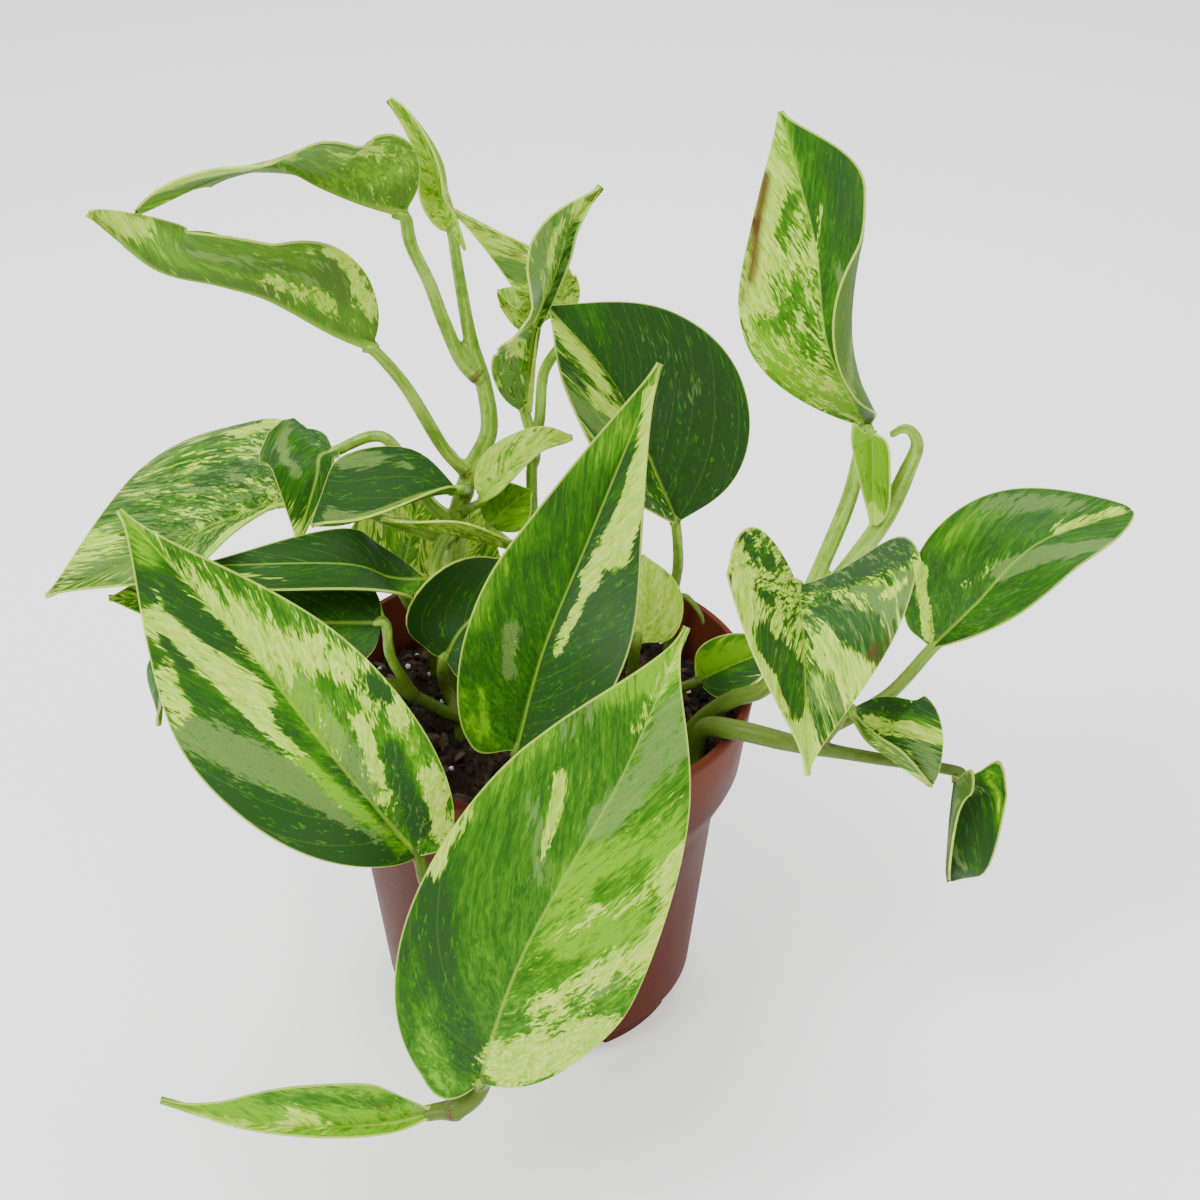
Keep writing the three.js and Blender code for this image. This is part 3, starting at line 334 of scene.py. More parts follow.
# What a stroke of each kind adds to the cream, deep, grey-green and brown tones of a blade
STROKES = {
    "c": (1, 0, -0.2, 0),
    "s": (-0.2, 0, 1, 0),
    "d": (0, 1, 0, 0),
    "l": (0, -1, -0.4, 0),
    "g": (-1, 0, 0, 0),
    "b": (0, 0, 0, 1),
}

# How each leaf looks: its slot, how cream, how deep a green and how grey-green its left and right
# half are, how strongly it is ribbed, and strokes as (kind, along, out, along, out, radius,
# strength), in millimetres from the base along the midrib and out from it, left being negative.
# The kinds are c cream, s sage, d deep green, l lime, g green through cream and b brown.
LOOKS = {
    "leaf_front_low": ("leaf_marbled", (0.12, 0.24), (0.5, 0.38), (0.12, 0.22), 0.5, [
        ("d", 45, -28, 8, -4, 6, 0.32), ("d", 52, -29, 36, -18, 5, 0.25),
        ("l", 23, -18, -2, -8, 3.2, 0.28), ("l", 70, -28, 83, -23, 4, 0.25),
        ("l", 100, -12, 108, -4, 5, 0.4), ("c", 51, -29, 62, -30, 2.4, 0.55),
        ("c", 62, -8, 76, -14, 1.8, 0.65), ("s", 57, -4, 69, -18, 2.6, 0.5),
        ("s", 71, 0, 94, 9, 4.5, 0.6), ("s", 85, -18, 97, -14, 4, 0.4), ("s", 91, 2, 104, 5, 4, 0.4),
        ("l", 60, 3, 72, 17, 7, 0.3), ("l", 48, 6, 57, 22, 5, 0.3), ("c", 50, 5, 67, 20, 3, 0.26),
        ("c", 9, 3, 27, 27, 6.5, 0.56), ("c", 3, 6, 15, 22, 2.8, 0.5), ("c", 29, 9, 55, 27, 4.5, 0.42),
        ("c", 56, 27, 73, 21, 2.2, 0.42), ("c", 92, -2, 116, 0, 2, 0.35),
        ("s", 34, 12, 45, 24, 3, 0.4), ("l", 107, -2, 119, 1, 4, 0.4), ("d", 60, 9, 67, 14, 2, 0.3),
        ("g", 60, 9, 67, 14, 2, 0.25)]),
    "leaf_front_left": ("leaf_marbled", (0.16, 0.36), (0.74, 0.52), (0.2, 0.36), 0.5, [
        ("d", 45, -28, 7, -7, 6.5, 0.5), ("g", 45, -28, 7, -7, 6.5, 0.5),
        ("s", 64, -24, 41, -12, 5, 0.75), ("s", 41, -12, 13, -3, 3, 0.7),
        ("d", 97, -7, 79, -4, 3.5, 0.4), ("g", 97, -7, 79, -4, 3.5, 0.35),
        ("c", 90, -13, 61, -6, 4.2, 0.6), ("c", 79, -20, 68, -24, 3.5, 0.5),
        ("c", 67, -10, 43, -7, 2.2, 0.55), ("d", 85, -14, 78, -14, 1.3, 0.6),
        ("g", 85, -14, 78, -14, 1.3, 0.5), ("g", 71, -15, 59, -14, 1.4, 0.5),
        ("l", 43, -7, 5, -2, 2.4, 0.75), ("c", 39, -8, 7, -4, 1.6, 0.35),
        ("c", 100, -6, 92, -8, 1.2, 0.5), ("c", 89, -3, 64, 7, 6, 0.34), ("l", 78, 5, 43, 2, 5, 0.5),
        ("c", 61, 14, 37, 20, 4, 0.32), ("d", 83, 0, 72, -1, 1.5, 0.5), ("s", 61, 4, 25, 2, 4, 0.45),
        ("d", 48, 18, 42, 20, 2.5, 0.7), ("g", 48, 18, 42, 20, 2.5, 0.4), ("d", 30, 13, 6, 5, 3, 0.6),
        ("g", 30, 13, 6, 5, 3, 0.35), ("c", 19, 16, 2, 9, 2.6, 0.5), ("c", 42, 11, 20, 3, 1.8, 0.45),
        ("l", 110, 0, 100, -3, 3, 0.6), ("l", 33, 17, 15, 12, 3, 0.4)]),
    "leaf_front_centre": ("leaf_marbled", (0.1, 0.02), (0.62, 0.92), (0.12, 0.02), 0.5, [
        ("s", 39, -10, 25, -7, 2.6, 0.7), ("c", 35, -8, 26, -7, 1.3, 0.4),
        ("l", 38, -20, 54, -20, 4, 0.35), ("l", 15, -17, 0, -9, 3.5, 0.35),
        ("l", 19, -13, 5, -9, 1.2, 0.5), ("l", 80, -10, 90, -3, 4, 0.3),
        ("l", 62, -17, 69, -12, 4, 0.25), ("c", 36, 4, 59, 5, 1.9, 0.75),
        ("c", 62, 5, 77, 7, 4.2, 0.62), ("c", 69, 10, 84, 6, 3.6, 0.68),
        ("g", 74, 2, 82, 2, 1.3, 0.35), ("c", 85, 6, 97, 1, 2.6, 0.6), ("l", 91, 2, 101, 1, 3, 0.45),
        ("d", 12, 11, 42, 22, 7, 0.2), ("g", 15, 13, 42, 22, 6, 0.2), ("s", 18, 11, 29, 19, 1, 0.45),
        ("d", 60, -10, 79, -10, 5, 0.15)]),
    "leaf_back_right": ("leaf_dark", (0.34, 0.06), (0.75, 0.92), (0.4, 0.22), 0.6, [
        ("c", 67, -4, 51, -6, 4, 0.45), ("c", 50, -15, 29, 1, 3, 0.35),
        ("d", 61, -16, 56, -17, 2, 0.7), ("g", 61, -16, 56, -17, 2, 0.5),
        ("s", 55, -27, 36, -12, 4, 0.4), ("s", 50, 15, 29, 19, 5, 0.15), ("d", 55, 16, 16, 20, 8, 0.2),
        ("l", 66, 7, 53, 14, 4, 0.2)]),
    "leaf_right_tall": ("leaf_marbled", (0.46, 0.08), (0.4, 0.68), (0.15, 0.1), 0.5, [
        ("c", 76, -8, 43, -21, 4.5, 0.3), ("g", 60, -11, 69, -3, 1.4, 0.35),
        ("g", 34, -13, 46, -6, 1.4, 0.3), ("l", 27, -17, 10, -3, 6, 0.6),
        ("l", 71, -14, 43, -21, 4, 0.3), ("l", 84, -2, 75, -2, 3.5, 0.7),
        ("b", 75, -9, 65, -16, 1.7, 0.95), ("b", 65, -16, 49, -21, 1.7, 0.95),
        ("b", 46, -23, 43, -24, 1.4, 0.7), ("d", 71, 12, 45, 25, 5, 0.2),
        ("g", 71, 12, 45, 25, 5, 0.2), ("c", 54, -1, 65, 4, 1.6, 0.4), ("s", 50, 7, 28, 22, 3, 0.55)]),
    "leaf_right_young": ("leaf_young", (0.2, 0.2), (-0.15, -0.15), (0.1, 0.1), 0.3, [
        ("d", 18, -1, 20, -6, 2, 0.35), ("c", 22, 1, 24, -2, 2, 0.5)]),
    "leaf_right_heart": ("leaf_marbled", (0.44, 0.52), (0.85, 0.8), (0.42, 0.36), 0.5, [
        ("d", -1, -5, -5, -26, 5, 0.3), ("g", -1, -5, -5, -26, 5, 0.5),
        ("g", 15, -7, 23, -16, 3.5, 0.3), ("s", 9, -16, 17, -22, 2.4, 0.8),
        ("s", 9, -26, 14, -27, 2.4, 0.8), ("c", 15, -20, 11, -26, 1.4, 0.35),
        ("c", 25, -7, 32, -14, 4, 0.26), ("g", 21, -11, 25, -19, 2, 0.4),
        ("b", 26, -17, 27, -18, 1.2, 0.9), ("b", 22, -21, 26, -21, 0.8, 0.4),
        ("c", -3, 22, 16, 18, 4, 0.25), ("g", -7, 17, -4, 9, 1.5, 0.45),
        ("g", 8, 17, 12, 11, 1.4, 0.35), ("g", 23, 14, 30, 4, 3.5, 0.5), ("g", 32, 7, 36, 3, 2.4, 0.4),
        ("c", 22, 20, 34, 8, 1.5, 0.4), ("c", 39, 2, 46, 0, 4, 0.3), ("s", 33, -2, 35, -11, 3, 0.3)]),
    "leaf_right_far": ("leaf_dark", (0.14, 0.1), (0.62, 0.66), (0.25, 0.3), 1.4, [
        ("c", 22, -20, 2, -3, 2.6, 0.6), ("l", 32, -19, 43, -16, 4, 0.3),
        ("c", 52, -1, 65, -1, 2.4, 0.5), ("s", 35, -1, 55, 13, 3, 0.75),
        ("s", 44, -18, 57, -8, 3.5, 0.45), ("c", 24, -6, 36, -3, 1.5, 0.3)]),
    "leaf_right_small": ("leaf_marbled", (0.3, 0.4), (0.8, 0.6), (0.3, 0.3), 0.4, [
        ("d", 1, -5, 21, -17, 2.5, 0.3), ("g", 1, -5, 21, -17, 2.5, 0.5),
        ("c", 5, -3, 26, -10, 2.4, 0.45), ("l", 6, -6, 24, -12, 2, 0.4), ("s", 25, -6, 31, -3, 3, 0.5),
        ("c", 24, -4, 29, 3, 0.9, 0.4)]),
    "leaf_right_cupped": ("leaf_dark", (0.05, 0.05), (0.9, 0.85), (0.1, 0.1), 0.5, [
        ("s", 9, 9, 25, -4, 1.4, 0.7), ("l", -3, -8, 14, -13, 2, 0.7),
        ("c", -1, -9, 13, -12, 0.9, 0.5), ("s", -6, 10, 8, -6, 3, 0.5), ("c", 15, 9, 22, 5, 0.7, 0.6)]),
    "leaf_rim_right": ("leaf_marbled", (0.2, 0.2), (0.3, 0.75), (0.1, 0.1), 0.4, [
        ("l", 2, -4, 22, -1, 3, 0.4), ("d", 4, 4, 20, 3, 3, 0.3), ("l", 10, 2, 18, 2, 1.2, 0.4)]),
    "leaf_top_left": ("leaf_marbled", (0.32, 0.3), (0.36, 0.38), (0.24, 0.24), 0.5, [
        ("d", 49, -24, 36, -26, 2.2, 0.5), ("g", 49, -24, 36, -26, 2.2, 0.4),
        ("c", 64, -11, 55, -14, 4, 0.4), ("c", 54, -21, 41, -7, 2.4, 0.3),
        ("l", 25, 0, 8, -10, 5, 0.25), ("d", 21, -3, 3, -4, 3, 0.3),
        ("c", 35, -18, 19, -16, 2.2, 0.35), ("s", 37, -4, 23, -6, 3, 0.3)]),
    "leaf_upper_left": ("leaf_young", (0.24, 0.26), (0.55, 0.52), (0.22, 0.24), 0.5, [
        ("d", 59, -10, 41, -7, 2, 0.45), ("g", 59, -10, 41, -7, 2, 0.35),
        ("d", 27, -14, 19, -11, 2.4, 0.5), ("g", 27, -14, 19, -11, 2.4, 0.4),
        ("c", 35, -4, 19, -5, 2.4, 0.32), ("c", 35, -15, 27, -16, 1.6, 0.35),
        ("d", 66, 0, 30, -1, 2.2, 0.45), ("s", 68, -7, 26, -14, 1.6, 0.35),
        ("s", 54, -8, 21, -8, 1.6, 0.35), ("c", 25, -17, 5, -8, 2.6, 0.5),
        ("c", 77, -1, 72, -5, 3, 0.5), ("l", 69, -4, 20, -6, 3, 0.2), ("d", 40, -10, 15, -8, 2, 0.3)]),
    "leaf_top_rolled": ("leaf_young", (0.62, 0.52), (-0.1, -0.1), (0.2, 0.2), 0.3, [
        ("g", 26, 9, 9, -1, 1, 0.25), ("c", 19, -5, 8, -6, 1, 0.4), ("l", 15, 9, 7, 8, 1.2, 0.5)]),
    "leaf_low_rolled": ("leaf_young", (0.16, 0.16), (0.12, 0.12), (0.2, 0.2), 0.3, [
        ("c", 59, -1, 40, 0, 2, 0.45), ("c", 39, 4, 32, 0, 2.6, 0.4), ("d", 44, 8, 10, 6, 2, 0.3),
        ("b", 19, 5, 16, 4, 0.8, 0.7), ("s", 5, 3, 0, -1, 3, 0.6)]),
    "leaf_behind_twisted": ("leaf_pale", (0.56, 0.56), (0.3, 0.3), (0.45, 0.45), 0.4, [
        ("s", 41, 1, 35, -5, 3, 0.4), ("g", 37, -6, 34, -6, 2, 0.5), ("b", 37, -1, 36, -3, 0.7, 0.8)]),
    "leaf_twisted": ("leaf_marbled", (0.38, 0.36), (0.44, 0.48), (0.58, 0.46), 0.4, [
        ("d", 23, 1, 18, -16, 1.4, 0.5), ("s", 50, -8, 36, -18, 3, 0.6), ("c", 54, -4, 43, -6, 1, 0.6),
        ("d", 55, 2, 33, 3, 1.6, 0.35), ("g", 55, 2, 33, 3, 1.6, 0.4), ("c", 60, -2, 60, 2, 2.4, 0.4),
        ("c", 29, -19, 12, -4, 2, 0.3)]),
    "leaf_centre_pale": ("leaf_pale", (0.62, 0.62), (0.26, 0.26), (0.5, 0.5), 0.4, []),
    "leaf_left_large": ("leaf_marbled", (0.38, 0.4), (0.7, 0.74), (0.5, 0.52), 0.6, [
        ("l", 20, 28, -3, 22, 3, 0.25), ("c", 2, 29, -10, 29, 2.5, 0.35), ("g", 19, 13, 7, 12, 3, 0.3),
        ("d", 19, 13, 7, 12, 3, 0.25), ("g", 48, 20, 42, 9, 3, 0.2), ("c", 59, 6, 54, 8, 4, 0.2),
        ("s", 56, 5, 46, -14, 4, 0.35), ("c", 1, -1, 35, -19, 1.4, 0.6)]),
    "leaf_left_folded": ("leaf_marbled", (0.18, 0.24), (0.8, 0.75), (0.25, 0.3), 0.4, [
        ("s", 8, 12, 20, 4, 1.6, 0.45), ("c", 24, 5, 28, 1, 1.4, 0.2)]),
    "leaf_centre_left": ("leaf_dark", (0.28, 0.12), (0.6, 1.0), (0.45, 0.18), 0.4, [
        ("s", 25, 17, 19, 13, 2.4, 0.7), ("s", 16, 11, 14, 7, 1.2, 0.5),
        ("s", 32, 2, 13, -6, 2.8, 0.6), ("c", 35, -2, 19, -6, 1.1, 0.4)]),
    "leaf_left_dark": ("leaf_dark", (0.02, 0.0), (0.85, 1.0), (0.02, 0.02), 0.5, [
        ("c", 60, -3, 52, -9, 1.2, 0.5), ("s", 58, 0, 50, -3, 1.4, 0.4), ("l", 37, -22, 4, 1, 4, 0.5),
        ("l", 44, -23, 36, -21, 1.4, 0.5)]),
    "leaf_left_under": ("leaf_dark", (0.12, 0.1), (0.85, 0.95), (0.15, 0.05), 0.4, [
        ("s", 9, -5, 4, -11, 2, 0.5), ("l", 12, 1, 2, -7, 4, 0.25)]),
    "leaf_centre_cupped": ("leaf_dark", (0.04, 0.04), (1.05, 1.05), (0.05, 0.05), 0.4, []),
    "leaf_back_pale_left": ("leaf_pale", (0.5, 0.5), (0.35, 0.35), (0.45, 0.45), 0.4, [
        ("g", 17, -7, 6, -1, 2, 0.3)]),
    "leaf_back_pale_right": ("leaf_pale", (0.5, 0.5), (0.35, 0.35), (0.45, 0.45), 0.4, [
        ("g", 19, -4, 8, 0, 2, 0.3)]),
    "leaf_centre_edge": ("leaf_pale", (0.5, 0.46), (0.2, 0.3), (0.3, 0.3), 0.4, []),
    "leaf_pot_pale": ("leaf_pale", (0.76, 0.72), (0.22, 0.22), (0.55, 0.55), 0.4, []),
    "leaf_left_tip": ("leaf_pale", (0.46, 0.46), (0.45, 0.45), (0.45, 0.45), 0.4, []),
    "leaf_left_hanging": ("leaf_dark", (0.2, 0.2), (0.65, 0.65), (0.3, 0.3), 0.4, []),
    "leaf_back_bright": ("leaf_young", (0.12, 0.12), (0.15, 0.15), (0.1, 0.1), 0.4, []),
}


# Shapes

def spline(points, t):
    """Points at t, from 0 to 1, on the smooth curve through a list of points."""
    p = np.asarray(points, float)
    p = np.vstack([2 * p[0] - p[1], p, 2 * p[-1] - p[-2]])
    place = np.clip(t, 0, 1) * (len(p) - 3)
    i = np.minimum(place.astype(int), len(p) - 4)
    w = (place - i)[..., None]
    a, b, c, d = p[i], p[i + 1], p[i + 2], p[i + 3]
    return 0.5 * (2 * b + (c - a) * w + (2 * a - 5 * b + 4 * c - d) * w**2 + (3 * b - a - 3 * c + d) * w**3)


def unit(vectors):
    return vectors / np.maximum(np.linalg.norm(vectors, axis=-1, keepdims=True), 1e-9)


def spline_direction(points, t):
    step = 1e-4
    return unit(spline(points, np.clip(t + step, 0, 1)) - spline(points, np.clip(t - step, 0, 1)))


def spline_length(points):
    steps = spline(points, np.linspace(0, 1, 201))
    return np.linalg.norm(np.diff(steps, axis=0), axis=1).sum()


def blend(values, t):
    """Values at t between the evenly spaced values of a list, which may be numbers or triples."""
    values = np.asarray(values, float)
    t = np.asarray(t, float)
    if len(values) == 1:
        return np.broadcast_to(values[0], t.shape + values.shape[1:])
    place = np.linspace(0, 1, len(values))
    if values.ndim == 1:
        return np.interp(t, place, values)
    return np.stack([np.interp(t, place, column) for column in values.T], -1)


def half_blade(leaf, side, q, across):
    """Middle of one half of a blade, with its distances from midrib, margin and base."""
    half = leaf["half"][side]
    swell, taper = leaf["shape"][side]

    def profile(x):
        return x**swell * (1 - x)**taper * (1 - BLADE["tip_draw"] * x**6)

    margin = np.hypot(half * profile(q) / profile(swell / (swell + taper)), BLADE["base_half"])
    sunk = (q + BLADE["sinus"]) / leaf.get("span", BLADE["lobe_span"])
    back = leaf.get("lobe", NO_LOBES)[side] * sunk * np.exp(1 - sunk) * (1 - q**4)
    length = spline_length(leaf["mid"])
    bend = BLADE["vein_bend"]
    foot = length * q**bend
    along = foot + (length * q - foot) * across**min(bend, 1 / swell) - back * across**(bend / swell)
    out = margin * across
    t = np.clip(along / length, 0, 1)
    tangent = spline_direction(leaf["mid"], t)
    origin = spline(leaf["mid"], t) + tangent * (along - t * length)[..., None]
    up = blend(leaf["face"], t)
    up = unit(up - (up * tangent).sum(-1, keepdims=True) * tangent)
    right = np.cross(tangent, up)
    start = np.radians(blend(leaf.get("fold", LEVEL)[side], t))
    turn = np.radians(blend(leaf.get("roll", LEVEL)[side], t)) / half
    turn = np.where(np.abs(turn) < 1e-5, 1e-5, turn)
    end = start + turn * out
    reach = (np.sin(end) - np.sin(start)) / turn
    lift = (np.cos(start) - np.cos(end)) / turn
    ripple = np.sin(9 * q + 3 * side + leaf["mid"][0][0]) * across**2 * np.minimum(1, 6 * q)
    lift = lift + leaf.get("wave", BLADE["wave"]) * ripple
    sign = 1 if side else -1
    return origin + right * (sign * reach)[..., None] + up * lift[..., None], out, margin - out, along


def blade(leaf, q, v):
    """Middle of a whole blade at q from base to tip and v from left margin to right margin, with
    its distances from midrib, margin and base."""
    left = half_blade(leaf, 0, q, np.abs(v))
    right = half_blade(leaf, 1, q, np.abs(v))
    point = np.where((v < 0)[..., None], left[0], right[0])
    return [point] + [np.where(v < 0, x, y) for x, y in zip(left[1:], right[1:])]


# Meshes

def deselect():
    if bpy.context.object and bpy.context.object.mode != "OBJECT":
        bpy.ops.object.mode_set(mode="OBJECT")
    bpy.ops.object.select_all(action="DESELECT")


def pick(piece):
    deselect()
    piece.select_set(True)
    bpy.context.view_layer.objects.active = piece


def finish_modifier(piece, kind, **settings):
    """Adds a modifier to a piece and applies it."""
    pick(piece)
    modifier = piece.modifiers.new(kind.title(), kind)
    for key, value in settings.items():
        setattr(modifier, key, value)
    bpy.ops.object.modifier_apply(modifier=modifier.name)


def settle(piece, name):
    """Names a piece and puts its place into its mesh."""
    pick(piece)
    bpy.ops.object.transform_apply(location=True, rotation=True, scale=True)
    piece.name = name
    piece.data.name = name
    return piece


def linked(name, data):
    """A new object in the scene."""
    piece = bpy.data.objects.new(name, data)
    bpy.context.scene.collection.objects.link(piece)
    return piece


def joined(pieces):
    """Several pieces as one."""
    deselect()
    for piece in pieces:
        piece.select_set(True)
    bpy.context.view_layer.objects.active = pieces[0]
    if len(pieces) > 1:
        bpy.ops.object.join()
    return pieces[0]


def points_of(piece):
    co = np.empty(3 * len(piece.data.vertices))
    piece.data.vertices.foreach_get("co", co)
    return co.reshape(-1, 3)


def move_points(piece, points):
    piece.data.vertices.foreach_set("co", np.asarray(points, float).ravel())
    piece.data.update()


def keep_vectors(piece, name, values):
    attribute = piece.data.attributes.new(name, "FLOAT_VECTOR", "POINT")
    attribute.data.foreach_set("vector", np.asarray(values, float).ravel())


def smooth(piece, degrees):
    pick(piece)
    bpy.ops.object.shade_smooth_by_angle(angle=math.radians(degrees))


# Materials

class Finish:
    """A material under construction, with one short call per kind of node."""

    def __init__(self, name, roughness, **plain):
        self.material = bpy.data.materials.new(name)
        self.material.use_nodes = True
        self.tree = self.material.node_tree
        self.shader = self.tree.nodes["Principled BSDF"]
        self.put(self.shader, {"Roughness": roughness, **plain})

    def put(self, node, values):
        for key, value in values.items():
            if isinstance(value, bpy.types.NodeSocket):
                self.tree.links.new(value, node.inputs[key])
            else:
                node.inputs[key].default_value = value

    def node(self, kind, values, **settings):
        node = self.tree.nodes.new("ShaderNode" + kind)
        for key, value in settings.items():
            setattr(node, key, value)
        self.put(node, values)
        return node

    def place(self):
        return self.node("TexCoord", {}).outputs["Object"]

    def kept(self, name):
        return self.node("Attribute", {}, attribute_name=name).outputs["Vector"]

    def parts(self, vector):
        return self.node("SeparateXYZ", {"Vector": vector}).outputs[:]

    def math(self, operation, a, b=0.0, c=0.0):
        return self.node("Math", {0: a, 1: b, 2: c}, operation=operation).outputs[0]

    def scaled(self, vector, scale):
        return self.node("VectorMath", {0: vector, 1: scale}, operation="MULTIPLY").outputs[0]

    def shifted(self, vector, shift):
        return self.node("VectorMath", {0: vector, 1: shift}, operation="ADD").outputs[0]

    def noise(self, vector, scale=1.0, detail=3.0, roughness=0.5):
        values = {"Vector": vector, "Scale": scale, "Detail": detail, "Roughness": roughness}
        return self.node("TexNoise", values).outputs["Fac"]

    def cells(self, vector, scale):
        return self.node("TexVoronoi", {"Vector": vector, "Scale": scale}).outputs["Distance"]

    def spread(self, value, low, high, to_low=0.0, to_high=1.0):
        values = {"Value": value, "From Min": low, "From Max": high, "To Min": to_low, "To Max": to_high}
        return self.node("MapRange", values, interpolation_type="SMOOTHSTEP").outputs["Result"]

    def ramp(self, value, stops):
        ramp = self.node("ValToRGB", {"Fac": value})
        elements = ramp.color_ramp.elements
        while len(elements) < len(stops):
            elements.new(0.5)
        for element, (position, colour) in zip(elements, stops):
            element.position = position
            element.color = (*colour[:3], 1)
        return ramp.outputs["Color"]

    def mix(self, share, a, b):
        node = self.tree.nodes.new("ShaderNodeMix")
        node.data_type = "RGBA"
        a, b = ((*x[:3], 1) if not isinstance(x, bpy.types.NodeSocket) else x for x in (a, b))
        self.put(node, {0: share, 6: a, 7: b})
        return node.outputs[2]

    def bump(self, height, distance, strength):
        values = {"Height": height, "Distance": distance, "Strength": strength}
        return self.node("Bump", values).outputs["Normal"]

    def done(self, colour, normal=None, roughness=None):
        self.put(self.shader, {"Base Color": colour})
        if normal:
            self.put(self.shader, {"Normal": normal})
        if roughness:
            self.put(self.shader, {"Roughness": roughness})
        return self.material


# Leaves

def blade_finish(settings, name, underside):
    """One side of the blades: green with grey-green and cream marbling along the side veins."""
    paint = Finish(name, 0.36, **{"Specular IOR Level": 0.08 if underside else 0.12, "IOR": 1.45})
    cream, deep, sage = paint.parts(paint.kept("tone"))
    rim, vein, brown = paint.parts(paint.kept("site"))
    lay = paint.kept("lay")
    drift = paint.node("TexNoise", {"Vector": lay, "Scale": 0.14}).outputs["Color"]
    bent = paint.shifted(lay, paint.scaled(drift, (5.0, 5.0, 0.0)))

    def marbled(tone, shift, strengths):
        """A tone with patches, streaks and flecks drawn out along the side veins."""
        moved = paint.shifted(bent, (shift, 0.7 * shift, shift))
        for scale, strength in zip(MARBLING, strengths):
            noise = paint.math("SUBTRACT", paint.noise(paint.scaled(moved, scale), detail=2.0), 0.5)
            tone = paint.math("MULTIPLY_ADD", noise, strength, tone)
        return tone

    strengths = (settings.patches, settings.streaks, settings.flecks)
    cream = marbled(cream, 0.0, strengths)
    deep = marbled(deep, 40.0, strengths)
    sage = marbled(sage, 80.0, strengths)
    fleck = marbled(0.5, 120.0, (0.2, 1.0, 1.2))
    grain = paint.noise(lay, 3.5, 3.0, 0.65)
    colour = paint.ramp(deep, [(0.08, settings.lime), (0.34, settings.bright), (0.62, settings.green),
                               (0.92, settings.deep)])
    dull = paint.spread(grain, 0.35, 0.65, 0.45, 0.95)
    haze = paint.math("MULTIPLY", paint.spread(sage, 0.42, 0.66), dull)
    colour = paint.mix(haze, colour, settings.sage)
    colour = paint.mix(paint.spread(cream, 0.38, 0.5, 0.0, 0.5), colour, settings.lime)
    tint = paint.mix(paint.spread(fleck, 0.3, 0.62), settings.cream, settings.lime_cream)
    colour = paint.mix(paint.spread(cream, 0.46, 0.55), colour, tint)
    fewer = paint.spread(cream, 0.5, 0.9, 0.8, 0.25)
    spots = paint.math("MULTIPLY", paint.spread(fleck, 0.68, 0.76), fewer)
    colour = paint.mix(spots, colour, settings.bright)
    positive = paint.math("ADD", paint.parts(lay)[0], 200.0)
    across = paint.math("PINGPONG", positive, settings.vein_gap * 500)
    side_vein = paint.spread(across, 0.0, 0.5, 1.0, 0.0)
    colour = paint.mix(paint.math("MULTIPLY", side_vein, 0.07), colour, settings.vein)
    colour = paint.mix(paint.spread(vein, 0.3, 1.0, 0.0, 0.65), colour, settings.vein)
    colour = paint.mix(paint.spread(rim, 0.08, 0.4, 0.6, 0.0), colour, settings.cream)
    colour = paint.mix(brown, colour, settings.brown)
    if underside:
        colour = paint.mix(0.22, colour, settings.underside)
    height = paint.math("MULTIPLY_ADD", grain, 0.5, paint.math("MULTIPLY", side_vein, -0.6))
    rough = paint.spread(grain, 0.3, 0.7, *((0.5, 0.65) if underside else (0.28, 0.42)))
    return paint.done(colour, paint.bump(height, 0.0003, 0.4), rough)


def painted(strokes, along, out, shape):
    """What the strokes on a blade add to its cream, deep, grey-green and brown tones."""
    tones = np.zeros((*shape, 4))
    for kind, x, y, to_x, to_y, radius, strength in strokes:
        dx, dy = to_x - x, to_y - y
        run = np.clip(((along - x) * dx + (out - y) * dy) / max(dx * dx + dy * dy, 1e-6), 0, 1)
        gap = np.hypot(along - x - run * dx, out - y - run * dy)
        tones += strength * np.exp(-(gap / radius)**3)[..., None] * STROKES[kind]
    return tones


